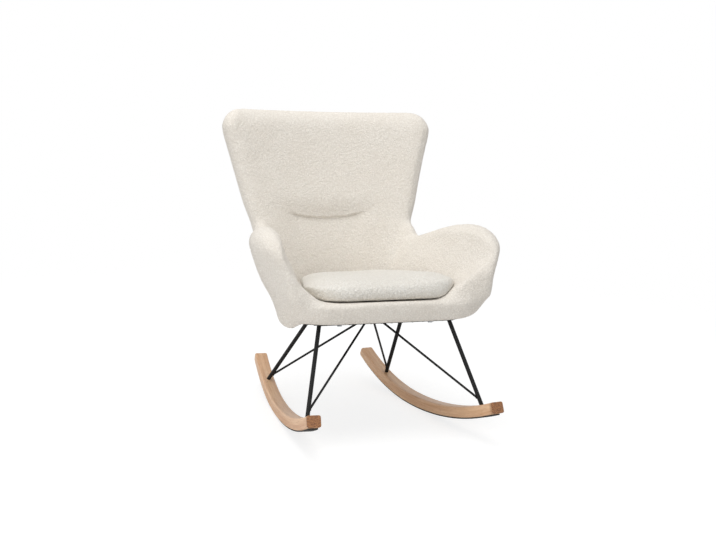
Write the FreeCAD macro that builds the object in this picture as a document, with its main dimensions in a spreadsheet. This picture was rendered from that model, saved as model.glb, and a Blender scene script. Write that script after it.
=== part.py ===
import FreeCAD, Part
import math
import os
import Sketcher
from FreeCAD import Placement, Rotation, Vector

# Driving dimensions: millimetres and degrees
# +Z is up, the chair faces -Y, and the origin is on the floor where the rockers rest
SIZES = {
    # rockers and their grip strips
    "rocker_width": 42,
    "rocker_thickness": 35,
    "rocker_round": 6,
    "rocker_end_round": 12,
    "rocker_front_radius": 1200,
    "rocker_rear_radius": 850,
    "rocker_front_reach": 497,
    "rocker_rear_reach": 361,
    "rocker_spacing": 477,
    "rocker_splay": 6.5,
    "strip_thickness": 4,
    "strip_width": 30,
    "strip_front_margin": 14,
    "strip_rear_margin": 30,
    # legs and braces
    "leg_diameter": 13,
    "leg_wall": 2,
    "leg_front_station": 405,
    "leg_rear_station": 192,
    "leg_front_spread": 430,
    "leg_rear_spread": 320,
    "socket_depth": 14,
    "socket_clearance": 0.2,
    "plug_length": 26,
    "brace_diameter": 7,
    "brace_rise": 18,
    "brace_front_spread": 40,
    "brace_rear_spread": 26,
    "brace_gap": 34,
    # how the seat leans back at rest
    "seat_tilt": 7,
    "seat_forward": 60.2,
    "seat_drop": 0.8,
    # flat-bar frame under the seat
    "frame_depth": 233,
    "frame_offset": 146.5,
    "rail_width": 30,
    "rail_thickness": 5,
    "rail_overhang": 8,
    "centre_rail_width": 64,
    # bolts and nuts
    "leg_bolt_diameter": 6,
    "leg_bolt_head": 11,
    "leg_bolt_head_height": 4,
    "leg_bolt_grip": 16,
    "leg_bolt_recess": 6,
    "frame_bolt_diameter": 8,
    "frame_bolt_head": 14,
    "frame_bolt_head_height": 5,
    "front_bolt_spread": 300,
    "rear_bolt_spread": 200,
    "nut_flange": 24,
    "nut_flange_thickness": 1.5,
    "nut_barrel": 11,
    "bolt_clearance": 0.1,
    # plywood boards and the brackets between them
    "dust_cover_thickness": 1.5,
    "dust_cover_margin": 6,
    "board_thickness": 15,
    "board_margin": 18,
    "board_lift": 8,
    "back_board_thickness": 9,
    "back_board_margin": 60,
    "back_board_drop": 85,
    "arm_board_length": 300,
    "arm_board_height": 180,
    "arm_board_corner": 80,
    "arm_board_setback": 55,
    "bracket_width": 40,
    "bracket_thickness": 4,
    "bracket_foot": 60,
    "bracket_foot_bolt": 45,
    "bracket_upright": 66,
    "bracket_upright_bolt": 43,
    "bracket_inset": 60,
    "back_bracket_spread": 180,
    "bracket_bolt_diameter": 6,
    "bracket_bolt_head": 10,
    "bracket_bolt_head_height": 3,
    "bracket_bolt_grip": 10,
    "front_block_length": 400,
    "front_block_depth": 44,
    "front_block_height": 45,
    "front_block_setback": 2,
    "seat_gap": 0.6,
    # padded tub
    "seat_bottom_height": 334,
    "deck_height": 397,
    "base_bottom_front": 323,
    "base_bottom_rear": 177,
    "base_bottom_front_width": 651,
    "base_bottom_rear_width": 350,
    "base_bottom_front_corner": 125,
    "base_bottom_rear_corner": 140,
    "base_deck_front": 358,
    "base_deck_rear": 242,
    "base_deck_front_width": 782,
    "base_deck_rear_width": 422,
    "base_deck_front_corner": 138,
    "base_deck_rear_corner": 170,
    # winged back
    "back_height": 1002,
    "waist_height": 642,
    "lumbar_height": 657,
    "back_deck_width": 470,
    "back_waist_width": 580,
    "back_top_width": 731,
    "back_deck_set": 204,
    "back_waist_set": 264,
    "back_top_set": 311,
    "wing_deck": 92,
    "wing_waist": 73,
    "wing_top": 88,
    "back_deck_thickness": 68,
    "back_top_thickness": 60,
    "top_round": 62,
    "top_corner": 62,
    "top_edge_share": 0.12,
    "lumbar_overhang": 18,
    "lumbar_pull": 8,
    "lumbar_lip": 8,
    "lumbar_fade": 160,
    "back_seam_gap": 0.5,
    "arm_seam_gap": 0.5,
    # padded arms
    "arm_height": 623,
    "arm_rear_height": 570,
    "arm_nose_height": 482,
    "arm_nose_share": 0.12,
    "arm_taper_power": 1.0,
    "arm_rear": 117,
    "arm_rear_rake": 0.3,
    "arm_apex": 138,
    "arm_front": 344,
    "arm_lean": 21.5,
    "arm_thickness": 98,
    "arm_rear_thickness": 76,
    "arm_swell": 7,
    # loose cushion
    "cushion_front": 328,
    "cushion_rear": 150,
    "cushion_side_gap": 4,
    "cushion_front_corner": 115,
    "cushion_rear_corner": 70,
    "cushion_height": 54,
    "cushion_crown": 8,
    "cushion_edge": 24,
    "cushion_edge_turn": 75,
    "cushion_crown_run": 120,
    "cover_thickness": 3,
    "cushion_gap": 0.3,
    "zip_length": 120,
    "zip_width": 9,
    "zip_depth": 2,
    "zip_proud": 0.8,
    "slider_length": 14,
    "slider_width": 8,
    "slider_height": 4,
}

doc = FreeCAD.newDocument("rocking_chair")
sheet = doc.addObject("Spreadsheet::Sheet", "sizes")
for row, (name, value) in enumerate(SIZES.items(), start=1):
    sheet.set(f"A{row}", name)
    sheet.set(f"B{row}", str(value))
    sheet.setAlias(f"B{row}", name)
doc.recompute()

UP = Vector(0, 0, 1)
LEFT, RIGHT = -1, 1
SIDES = {"left": LEFT, "right": RIGHT}
pieces = []


def size(name):
    return float(sheet.get(name))


def keep(obj, label):
    """Mark a document object as a sub-part and give it the name of its file."""
    obj.Label = label
    pieces.append(obj)
    return obj


def keep_leaning(obj, label):
    """Keep a copy of a piece that was drawn level, leaned back as the seat is at rest."""
    obj.Label = f"{label}_level"
    leaning = doc.addObject("Part::Compound", f"{label}_leaning")
    leaning.Links = obj.Links if obj.TypeId == "Part::Compound" else [obj]
    leaning.Placement = LEAN
    doc.recompute()
    keep(leaning, label)
    return obj


def feature(label, shape):
    obj = doc.addObject("Part::Feature", f"{label}_form")
    obj.Shape = shape
    obj.Placement = Placement()
    return keep_leaning(obj, label)


# The seat and all it carries are drawn level, then leaned back over the rockers
LEAN = Placement(Vector(0, -size("seat_forward"), -size("seat_drop")),
                 Rotation(Vector(1, 0, 0), -size("seat_tilt")))

# Heights that several pieces share
SEAT_BOTTOM = size("seat_bottom_height")
DECK = size("deck_height")
BOARD_TOP = SEAT_BOTTOM + size("board_thickness")
SHELL_FOOT = BOARD_TOP + size("board_lift")
RAIL_TOP = SEAT_BOTTOM - size("dust_cover_thickness")
RAIL_BOTTOM = RAIL_TOP - size("rail_thickness")
FRONT_RAIL_Y = -size("frame_offset") - size("frame_depth") / 2
REAR_RAIL_Y = -size("frame_offset") + size("frame_depth") / 2


# Sketch and body helpers
def new_sketch(body, name, role):
    sketch = body.newObject("Sketcher::SketchObject", name)
    origin_plane = next(o for o in body.Origin.OriginFeatures if o.Role == role)
    sketch.AttachmentSupport = [(origin_plane, "")]
    sketch.MapMode = "FlatFace"
    return sketch


def constrain(sketch, expression, kind, *where):
    """Add a constraint whose value follows the sheet."""
    index = sketch.addConstraint(Sketcher.Constraint(kind, *where))
    sketch.setExpression(f"Constraints[{index}]", expression)


def rectangle(sketch, width, depth, guess):
    """A rectangle centred on the sketch's origin."""
    x, y = guess[0] / 2, guess[1] / 2
    corners = [Vector(-x, -y), Vector(x, -y), Vector(x, y), Vector(-x, y)]
    lines = []
    for i in range(4):
        lines.append(sketch.addGeometry(Part.LineSegment(corners[i], corners[(i + 1) % 4])))
    for i in range(4):
        sketch.addConstraint(Sketcher.Constraint("Coincident", lines[i], 2, lines[(i + 1) % 4], 1))
    for flat, upright in ((0, 1), (2, 3)):
        sketch.addConstraint(Sketcher.Constraint("Horizontal", lines[flat]))
        sketch.addConstraint(Sketcher.Constraint("Vertical", lines[upright]))
    sketch.addConstraint(Sketcher.Constraint("Symmetric", lines[0], 1, lines[2], 1, -1, 1))
    constrain(sketch, width, "DistanceX", lines[0], 1, lines[0], 2, guess[0])
    constrain(sketch, depth, "DistanceY", lines[1], 1, lines[1], 2, guess[1])


def trapezoid(sketch, front_width, rear_width, front, rear, guess):
    """A symmetric trapezoid round the sketch's origin; the guess lists the same four lengths."""
    front_x, rear_x, front_y, rear_y = guess[0] / 2, guess[1] / 2, -guess[2], guess[3]
    corners = [Vector(-front_x, front_y), Vector(front_x, front_y),
               Vector(rear_x, rear_y), Vector(-rear_x, rear_y)]
    lines = []
    for i in range(4):
        lines.append(sketch.addGeometry(Part.LineSegment(corners[i], corners[(i + 1) % 4])))
    for i in range(4):
        sketch.addConstraint(Sketcher.Constraint("Coincident", lines[i], 2, lines[(i + 1) % 4], 1))
    for edge in (lines[0], lines[2]):
        sketch.addConstraint(Sketcher.Constraint("Symmetric", edge, 1, edge, 2, -2))
    constrain(sketch, front_width, "DistanceX", lines[0], 1, lines[0], 2, guess[0])
    constrain(sketch, rear_width, "DistanceX", lines[2], 2, lines[2], 1, guess[1])
    constrain(sketch, front, "DistanceY", lines[0], 1, -1, 1, guess[2])
    constrain(sketch, rear, "DistanceY", -1, 1, lines[2], 1, guess[3])


def hole_pair(sketch, radius, spread, ahead, guess):
    """Two holes mirrored about the sketch's Y axis; ahead is how far they lie towards -Y."""
    hole_radius, half_spread, distance = guess
    holes = []
    for x in (half_spread, -half_spread):
        circle = Part.Circle(Vector(x, -distance), UP, hole_radius)
        holes.append(sketch.addGeometry(circle))
    sketch.addConstraint(Sketcher.Constraint("Symmetric", holes[0], 3, holes[1], 3, -2))
    sketch.addConstraint(Sketcher.Constraint("Equal", holes[0], holes[1]))
    constrain(sketch, radius, "Radius", holes[0], hole_radius)
    constrain(sketch, spread, "DistanceX", holes[1], 3, holes[0], 3, 2 * half_spread)
    if ahead is None:
        sketch.addConstraint(Sketcher.Constraint("PointOnObject", holes[0], 3, -1))
    elif distance >= 0:
        constrain(sketch, ahead, "DistanceY", holes[0], 3, -1, 1, distance)
    else:
        constrain(sketch, f"-({ahead})", "DistanceY", -1, 1, holes[0], 3, -distance)


def pad(body, sketch, length, symmetric=False):
    solid = body.newObject("PartDesign::Pad", f"{body.Name}_pad")
    solid.Profile = sketch
    solid.setExpression("Length", length)
    if symmetric:
        solid.SideType = "Symmetric"
    doc.recompute()
    return solid


def round_edges(body, base, radius, wanted):
    """Round the edges of the body's last feature that the test picks."""
    names = [f"Edge{i}" for i, edge in enumerate(base.Shape.Edges, start=1) if wanted(edge)]
    fillet = body.newObject("PartDesign::Fillet", f"{body.Name}_round")
    fillet.Base = (base, names)
    fillet.setExpression("Radius", radius)
    doc.recompute()
    return fillet


def is_straight(edge):
    return edge.Curve.TypeId == "Part::GeomLine"


def is_upright(edge):
    return is_straight(edge) and abs(edge.Curve.Direction.dot(UP)) > 0.999


def cylinder(name, start, end, radius):
    """A round bar from start to end whose radius follows the sheet."""
    bar = doc.addObject("Part::Cylinder", name)
    bar.setExpression("Radius", radius)
    bar.Height = start.distanceToPoint(end)
    bar.Placement = Placement(start, Rotation(UP, end - start))
    return bar


def cut(name, base, *tools):
    result = base
    for tool in tools:
        step = doc.addObject("Part::Cut", f"{name}_cut")
        step.Base = result
        step.Tool = tool
        result = step
    doc.recompute()
    return result


def group(label, members):
    compound = doc.addObject("Part::Compound", f"{label}_group")
    compound.Links = members
    doc.recompute()
    return compound


def bolt(name, seat, direction, kind, length):
    """A bolt whose head sits on the point seat and whose shank runs along direction."""
    axis = Vector(direction).normalize()
    height = size(f"{kind}_head_height")
    head = cylinder(f"{name}_head", seat - axis * height, seat, f"sizes.{kind}_head / 2")
    shank = cylinder(f"{name}_shank", seat - axis * (height / 2), seat + axis * length,
                     f"sizes.{kind}_diameter / 2")
    whole = doc.addObject("Part::Fuse", name)
    whole.Base = head
    whole.Tool = shank
    doc.recompute()
    return whole


def loft(rings):
    """A closed solid through the rings, straight from each ring to the next."""
    return Part.makeLoft(rings, True, True)


def even(start, finish, count):
    return [start + (finish - start) * i / count for i in range(count + 1)]


def eased(start, finish, count):
    """Places that crowd towards the finish, as equal steps round a quarter circle do."""
    return [start + (finish - start) * math.sin(math.pi / 2 * i / count) for i in range(1, count + 1)]


def arc(start, middle, end):
    return Part.Arc(start, middle, end).toShape()


def line(start, end):
    return Part.LineSegment(start, end).toShape()


# Rockers: two tangent arcs, flatter ahead of the rest point and tighter behind it
def arc_bar(label, side, inner_offset, thickness, front_reach, rear_reach, width):
    """A bar bent along the rocker's arcs, at a given height above the floor line."""
    body = doc.addObject("PartDesign::Body", label)
    sketch = new_sketch(body, f"{label}_side", "XZ_Plane")
    low = size("strip_thickness") if inner_offset else 0.0
    thick = size(thickness)
    ends = (-size("rocker_front_reach"), size("rocker_rear_reach"))
    radii = (size("rocker_front_radius"), size("rocker_rear_radius"))

    def at(reach, radius, level):
        angle = math.asin(reach / (radius - low))
        return Vector((radius - level) * math.sin(angle), radius - (radius - level) * math.cos(angle))

    bottom = [at(ends[0], radii[0], low), Vector(0, low), at(ends[1], radii[1], low)]
    top = [at(ends[0], radii[0], low + thick), Vector(0, low + thick), at(ends[1], radii[1], low + thick)]

    def bent_edge(first, last, radius, level):
        centre = Vector(0, radius)
        circle = Part.Circle(centre, UP, radius - level)
        angles = [math.atan2(point.y - radius, point.x) for point in (first, last)]
        return sketch.addGeometry(Part.ArcOfCircle(circle, *angles))

    front_low = bent_edge(bottom[0], bottom[1], radii[0], low)
    rear_low = bent_edge(bottom[1], bottom[2], radii[1], low)
    rear_high = bent_edge(top[1], top[2], radii[1], low + thick)
    front_high = bent_edge(top[0], top[1], radii[0], low + thick)
    rear_end = sketch.addGeometry(Part.LineSegment(bottom[2], top[2]))
    front_end = sketch.addGeometry(Part.LineSegment(top[0], bottom[0]))
    for first, second in (((front_low, 2), (rear_low, 1)), ((front_high, 2), (rear_high, 1)),
                          ((rear_low, 2), (rear_end, 1)), ((rear_high, 2), (rear_end, 2)),
                          ((front_high, 1), (front_end, 1)), ((front_low, 1), (front_end, 2))):
        sketch.addConstraint(Sketcher.Constraint("Coincident", *first, *second))
    sketch.addConstraint(Sketcher.Constraint("Coincident", front_low, 3, front_high, 3))
    sketch.addConstraint(Sketcher.Constraint("Coincident", rear_low, 3, rear_high, 3))
    for edge in (front_low, rear_low):
        sketch.addConstraint(Sketcher.Constraint("PointOnObject", edge, 3, -2))
    for edge in (front_low, front_high):
        sketch.addConstraint(Sketcher.Constraint("PointOnObject", edge, 2, -2))
    sketch.addConstraint(Sketcher.Constraint("PointOnObject", front_low, 3, front_end))
    sketch.addConstraint(Sketcher.Constraint("PointOnObject", rear_low, 3, rear_end))
    offset = "sizes.strip_thickness" if inner_offset else "0 * sizes.strip_thickness"
    constrain(sketch, f"sizes.rocker_front_radius - {offset}", "Radius", front_low, radii[0] - low)
    constrain(sketch, f"sizes.rocker_rear_radius - {offset}", "Radius", rear_low, radii[1] - low)
    constrain(sketch, "sizes.rocker_front_radius", "DistanceY", -1, 1, front_low, 3, radii[0])
    constrain(sketch, f"sizes.{thickness}", "DistanceY", front_low, 2, front_high, 2, thick)
    constrain(sketch, front_reach, "DistanceX", front_low, 1, -1, 1, -bottom[0].x)
    constrain(sketch, rear_reach, "DistanceX", -1, 1, rear_low, 2, bottom[2].x)
    solid = pad(body, sketch, width, symmetric=True)
    turn = 90 + side * size("rocker_splay")
    body.Placement = Placement(Vector(side * size("rocker_spacing") / 2, 0, 0), Rotation(UP, turn))
    return body, solid


def is_rear_end(edge):
    """The two edges across a rocker's rear end, in the frame of its own sketch."""
    return is_straight(edge) and abs(edge.Curve.Direction.y) > 0.999 and edge.CenterOfMass.x > 0


def is_rocker_rim(edge):
    """The edges round a rocker's two sides, less those of its sawn front end."""
    half = size("rocker_width") / 2
    return abs(abs(edge.CenterOfMass.y) - half) < 0.01 and not (is_straight(edge) and edge.CenterOfMass.x < 0)


def rocker_point(side, along, height):
    """A point on a rocker's centre plane; along grows towards the rear."""
    splay = math.radians(size("rocker_splay"))
    x = size("rocker_spacing") / 2 - along * math.sin(splay)
    return Vector(side * x, along * math.cos(splay), height)


def rocker_height(along, level):
    """Height of a rocker's face that lies a given level above its floor line."""
    radius = size("rocker_rear_radius") if along > 0 else size("rocker_front_radius")
    return radius - math.sqrt((radius - level) ** 2 - along ** 2)


# Legs, each from its socket in the rocker up to the rail
def rail_end(side, end):
    """Where a leg's axis meets the underside of the level rails."""
    rail_y = FRONT_RAIL_Y if end == "front" else REAR_RAIL_Y
    return Vector(side * size(f"leg_{end}_spread") / 2, rail_y, RAIL_BOTTOM)


def leg_line(side, end):
    """Foot on the rocker's top, top under the rail, and the direction between them."""
    along = -size("leg_front_station") if end == "front" else size("leg_rear_station")
    foot = rocker_point(side, along, rocker_height(along, size("strip_thickness") + size("rocker_thickness")))
    top = LEAN.multVec(rail_end(side, end))
    return foot, top, (top - foot).normalize()


def ceiling(name):
    """A block above the underside of the rails, which trims legs and braces."""
    block = doc.addObject("Part::Box", name)
    for side in ("Length", "Width"):
        block.setExpression(side, "2 * sizes.base_deck_front_width")
    block.setExpression("Height", "sizes.seat_bottom_height")
    reach = size("base_deck_front_width")
    block.Placement = LEAN.multiply(Placement(Vector(-reach, -reach, RAIL_BOTTOM), Rotation()))
    return block


def build_base():
    above_rails = ceiling("above_rails")
    plugs, leg_bolts = [], []
    for side_name, side in SIDES.items():
        rocker, bent = arc_bar(f"rocker_{side_name}_bent", side, True, "rocker_thickness",
                               "sizes.rocker_front_reach", "sizes.rocker_rear_reach", "sizes.rocker_width")
        rounded = round_edges(rocker, bent, "sizes.rocker_end_round", is_rear_end)
        round_edges(rocker, rounded, "sizes.rocker_round", is_rocker_rim)
        strip, _ = arc_bar(f"grip_strip_{side_name}", side, False, "strip_thickness",
                           "sizes.rocker_front_reach - sizes.strip_front_margin",
                           "sizes.rocker_rear_reach - sizes.strip_rear_margin", "sizes.strip_width")
        keep(strip, f"grip_strip_{side_name}")
        rocker_cuts = []
        for end in ("front", "rear"):
            tag = f"{end}_{side_name}"
            foot, top, axis = leg_line(side, end)
            socket_floor = foot - axis * size("socket_depth")
            beyond = top + axis * size("leg_diameter") * 2

            # tube and its plug
            outside = cylinder(f"leg_{tag}_outside", socket_floor, beyond, "sizes.leg_diameter / 2")
            inside = cylinder(f"leg_{tag}_inside", socket_floor, beyond,
                              "sizes.leg_diameter / 2 - sizes.leg_wall")
            keep(cut(f"leg_{tag}", outside, inside, above_rails), f"leg_{tag}")
            plug_top = socket_floor + axis * size("plug_length")
            plug = cylinder(f"plug_{tag}_blank", socket_floor, plug_top,
                            "sizes.leg_diameter / 2 - sizes.leg_wall")
            bore = cylinder(f"plug_{tag}_bore", socket_floor, plug_top,
                            "sizes.leg_bolt_diameter / 2 + sizes.bolt_clearance")
            plugs.append(cut(f"plug_{tag}", plug, bore))

            # bolt from a recess under the rocker into the plug
            wood = size("rocker_thickness") / axis.dot(rocker_normal(side, end)) - size("socket_depth")
            seat = socket_floor - axis * (wood - size("leg_bolt_recess") - size("leg_bolt_head_height"))
            reach = socket_floor.distanceToPoint(seat) + size("leg_bolt_grip")
            leg_bolts.append(bolt(f"leg_bolt_{tag}", seat, axis, "leg_bolt", reach))
            rocker_cuts.append(cylinder(f"socket_{tag}", socket_floor, beyond,
                                        "sizes.leg_diameter / 2 + sizes.socket_clearance"))
            rocker_cuts.append(cylinder(f"bolt_way_{tag}", seat, socket_floor,
                                        "sizes.leg_bolt_diameter / 2 + sizes.bolt_clearance"))
            below = seat - axis * size("rocker_thickness")
            rocker_cuts.append(cylinder(f"recess_{tag}", below, seat,
                                        "sizes.leg_bolt_head / 2 + sizes.bolt_clearance"))

            # brace from the foot of the leg to the middle of the frame
            start = foot + axis * size("brace_rise")
            towards = -1 if end == "front" else 1
            middle_y = -size("frame_offset") + towards * size("brace_gap") / 2
            finish = LEAN.multVec(Vector(side * size(f"brace_{end}_spread") / 2, middle_y, RAIL_BOTTOM))
            past = finish + (finish - start).normalize() * size("brace_diameter") * 3
            bar = cylinder(f"brace_{tag}_bar", start, past, "sizes.brace_diameter / 2")
            keep(cut(f"brace_{tag}", bar, outside, above_rails), f"brace_{tag}")
        keep(cut(f"rocker_{side_name}", rocker, *rocker_cuts), f"rocker_{side_name}")
    keep(group("leg_plugs", plugs), "leg_plugs")
    keep(group("leg_bolts", leg_bolts), "leg_bolts")


def rocker_normal(side, end):
    """Upward normal of the rocker's top where a leg meets it."""
    along = -size("leg_front_station") if end == "front" else size("leg_rear_station")
    radius = size("rocker_rear_radius") if along > 0 else size("rocker_front_radius")
    centre = rocker_point(side, 0, radius)
    foot = leg_line(side, end)[0]
    return (centre - foot).normalize()


# Flat bars under the seat
def plate(label, width, depth, thickness, guess, holes=(), place=None):
    """A flat plate with pairs of holes, its lower face on z = 0 of its own frame."""
    body = doc.addObject("PartDesign::Body", label)
    sketch = new_sketch(body, f"{label}_outline", "XY_Plane")
    rectangle(sketch, width, depth, guess)
    for hole in holes:
        hole_pair(sketch, *hole)
    pad(body, sketch, thickness)
    body.Placement = place
    return body


def rail_bolt_hole(spread):
    radius = "sizes.frame_bolt_diameter / 2 + sizes.bolt_clearance"
    guess = (size("frame_bolt_diameter") / 2 + size("bolt_clearance"), size(spread) / 2, 0)
    return (radius, f"sizes.{spread}", None, guess)


def build_frame():
    ends = {"front": FRONT_RAIL_Y, "rear": REAR_RAIL_Y}
    rails = {}
    for end, y in ends.items():
        length = size(f"leg_{end}_spread") + 2 * size("rail_overhang")
        place = Placement(Vector(0, y, RAIL_BOTTOM), Rotation())
        rails[end] = plate(f"{end}_rail", f"sizes.leg_{end}_spread + 2 * sizes.rail_overhang",
                           "sizes.rail_width", "sizes.rail_thickness", (length, size("rail_width")),
                           [rail_bolt_hole(f"{end}_bolt_spread")], place)
        keep_leaning(rails[end], f"{end}_rail")
    for side_name, side in SIDES.items():
        start, finish = rail_end(side, "front"), rail_end(side, "rear")
        run = finish - start
        heading = math.degrees(math.atan2(run.y, run.x))
        place = Placement((start + finish) * 0.5, Rotation(UP, heading))
        bar = doc.addObject("Part::Box", f"side_rail_{side_name}_bar")
        bar.Length = run.Length
        bar.setExpression("Width", "sizes.rail_width")
        bar.setExpression("Height", "sizes.rail_thickness")
        bar.Placement = place.multiply(Placement(Vector(-run.Length / 2, -size("rail_width") / 2, 0),
                                                 Rotation()))
        side_rail = cut(f"side_rail_{side_name}", bar, rails["front"], rails["rear"])
        keep_leaning(side_rail, f"side_rail_{side_name}")
    gap = size("frame_depth") - size("rail_width")
    place = Placement(Vector(0, -size("frame_offset"), RAIL_BOTTOM), Rotation())
    centre = plate("centre_rail", "sizes.centre_rail_width", "sizes.frame_depth - sizes.rail_width",
                   "sizes.rail_thickness", (size("centre_rail_width"), gap), (), place)
    keep_leaning(centre, "centre_rail")

    bolts, nuts, nut_blanks = [], [], []
    for end, y in ends.items():
        for side_name, side in SIDES.items():
            x = side * size(f"{end}_bolt_spread") / 2
            tag = f"{end}_{side_name}"
            seat = Vector(x, y, RAIL_BOTTOM)
            nut_top = BOARD_TOP + size("nut_flange_thickness")
            bolts.append(bolt(f"frame_bolt_{tag}", seat, UP, "frame_bolt", nut_top - RAIL_BOTTOM))
            flange = cylinder(f"nut_{tag}_flange", Vector(x, y, BOARD_TOP), Vector(x, y, nut_top),
                              "sizes.nut_flange / 2")
            barrel = cylinder(f"nut_{tag}_barrel", Vector(x, y, SEAT_BOTTOM), Vector(x, y, nut_top),
                              "sizes.nut_barrel / 2")
            thread = cylinder(f"nut_{tag}_thread", Vector(x, y, SEAT_BOTTOM), Vector(x, y, nut_top),
                              "sizes.frame_bolt_diameter / 2 + sizes.bolt_clearance")
            blank = doc.addObject("Part::Fuse", f"nut_{tag}_blank")
            blank.Base = flange
            blank.Tool = barrel
            nut_blanks.append(blank)
            nuts.append(cut(f"nut_{tag}", blank, thread))
    keep_leaning(group("frame_bolts", bolts), "frame_bolts")
    keep_leaning(group("t_nuts", nuts), "t_nuts")
    return nut_blanks


# The back: horizontal sections on arcs whose ends come forward as wings
def between(z, at_deck, at_waist, at_shoulder):
    """A smooth value up the back through its sizes at deck, waist and shoulder."""
    low, middle, high = DECK, size("waist_height"), size("back_height") - size("top_round")
    return (at_deck * (z - middle) * (z - high) / ((low - middle) * (low - high))
            + at_waist * (z - low) * (z - high) / ((middle - low) * (middle - high))
            + at_shoulder * (z - low) * (z - middle) / ((high - low) * (high - middle)))


def top_fall(z):
    """How far the rounded top has closed at a height: 0 at the shoulder, 1 at the very top."""
    rise = (z - size("back_height") + size("top_round")) / size("top_round")
    return 1 - math.sqrt(1 - min(max(rise, 0), 1) ** 2)


def back_arc(z):
    """Radius and centre of the arc through the middle of the back's thickness, and its tip angle."""
    level = min(z, size("back_height") - size("top_round"))
    half = between(level, size("back_deck_width"), size("back_waist_width"), size("back_top_width")) / 2
    wing = between(level, size("wing_deck"), size("wing_waist"), size("wing_top"))
    middle = between(z, size("back_deck_set"), size("back_waist_set"), size("back_top_set"))
    radius = (half ** 2 + wing ** 2) / (2 * wing)
    tip = math.asin((half - size("top_corner") * top_fall(z)) / radius)
    return radius, middle - radius, tip


def back_thickness(z):
    span = size("back_height") - size("top_round") - DECK
    share = min((z - DECK) / span, 1)
    full = size("back_deck_thickness") * (1 - share) + size("back_top_thickness") * share
    return full * max(1 - top_fall(z), size("top_edge_share"))


def back_point(z, angle, offset):
    radius, centre, _ = back_arc(z)
    return Vector((radius + offset) * math.sin(angle), centre + (radius + offset) * math.cos(angle), z)


def half_back_ring(z, face, swell, seam, spare):
    """Section of the front (face -1) or rear (face 1) half of the back, swollen in the middle.

    The seam is the half's distance from the back's middle, and spare thickens it all round.
    """
    radius, _, tip = back_arc(z)
    half = back_thickness(z) / 2 + spare
    tip += spare / radius
    edge = tip - half / radius
    faces = [back_point(z, turn * edge, face * half) for turn in (-1, 0, 1)]
    faces[1].y += face * swell
    tips = [back_point(z, turn * tip, face * seam) for turn in (-1, 1)]
    bends = []
    for turn, start, finish in ((-1, faces[0], tips[0]), (1, faces[2], tips[1])):
        centre = back_point(z, turn * edge, 0)
        bends.append(centre + ((start - centre) + (finish - centre)) * math.sqrt(0.5))
    return Part.Wire([arc(*faces), arc(faces[2], bends[1], tips[1]),
                      arc(tips[1], back_point(z, 0, face * seam), tips[0]),
                      arc(tips[0], bends[0], faces[0])])


def upper_swell(z):
    """The upper pad is drawn in at its seam, rolls out over the lower pad and fades upwards."""
    rise = z - size("lumbar_height")
    lip = math.exp(-rise / size("lumbar_lip"))
    bulge = size("lumbar_overhang") * (1 - lip) * math.exp(-rise / size("lumbar_fade"))
    return (bulge - size("lumbar_pull") * lip) * (1 - top_fall(z))


def lower_swell(z):
    return -size("lumbar_pull") * math.exp((z - size("lumbar_height")) / size("lumbar_lip"))


def back_levels(low, count):
    """Heights of the back's sections from a height to the very top."""
    shoulder = size("back_height") - size("top_round")
    return even(low, shoulder, count) + eased(shoulder, size("back_height"), 6)


def back_board_shape():
    half = size("back_board_thickness") / 2
    top = size("back_height") - size("back_board_drop")
    rings = []
    for z in even(SHELL_FOOT, top, 8):
        radius, _, tip = back_arc(z)
        edge = tip - size("back_board_margin") / radius
        front = [back_point(z, turn * edge, -half) for turn in (-1, 0, 1)]
        rear = [back_point(z, turn * edge, half) for turn in (1, 0, -1)]
        rings.append(Part.Wire([arc(*front), line(front[2], rear[0]), arc(*rear), line(rear[2], front[0])]))
    return loft(rings)


def lower_back(seam, spare):
    lumbar = size("lumbar_height")
    lip = size("lumbar_lip")
    levels = even(DECK, lumbar - lip * 4, 5) + even(lumbar - lip * 2, lumbar, 2)
    return loft([half_back_ring(z, -1, lower_swell(z), seam, spare) for z in levels])


def upper_back(seam):
    lumbar = size("lumbar_height")
    lip = size("lumbar_lip")
    levels = even(lumbar, lumbar + lip * 3, 4) + back_levels(lumbar + lip * 6, 5)
    return loft([half_back_ring(z, -1, upper_swell(z), seam, 0) for z in levels])


def rear_back(spare):
    return loft([half_back_ring(z, 1, 0, 0, spare) for z in back_levels(DECK, 9)])


# Padded tub and cushion: rounded trapezoids in plan, wide in front
def inset_plan(plan, inset):
    """A plan (front, rear, half widths, corner radii) drawn in all round."""
    front, rear, front_half, rear_half, front_corner, rear_corner = plan
    slope = (front_half - rear_half) / (front + rear)
    slant = math.sqrt(1 + slope ** 2)
    return (front - inset, rear - inset, front_half - inset * (slant + slope),
            rear_half - inset * (slant - slope), front_corner - inset, rear_corner - inset)


def plan_of(kind):
    return (size(f"{kind}_front"), size(f"{kind}_rear"), size(f"{kind}_front_width") / 2,
            size(f"{kind}_rear_width") / 2, size(f"{kind}_front_corner"), size(f"{kind}_rear_corner"))


def rounded_ring(plan, z):
    front, rear, front_half, rear_half, front_corner, rear_corner = plan
    corners = [Vector(-front_half, -front, z), Vector(front_half, -front, z),
               Vector(rear_half, rear, z), Vector(-rear_half, rear, z)]
    radii = (front_corner, front_corner, rear_corner, rear_corner)
    bends = []
    for i, (corner, radius) in enumerate(zip(corners, radii)):
        back = (corners[i - 1] - corner).normalize()
        ahead = (corners[(i + 1) % 4] - corner).normalize()
        half_angle = back.getAngle(ahead) / 2
        inward = (back + ahead).normalize()
        reach = radius / math.tan(half_angle)
        middle = corner + inward * (radius / math.sin(half_angle) - radius)
        bends.append((corner + back * reach, middle, corner + ahead * reach))
    edges = []
    for i, bend in enumerate(bends):
        edges += [arc(*bend), line(bend[2], bends[(i + 1) % 4][0])]
    return Part.Wire(edges)


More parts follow.
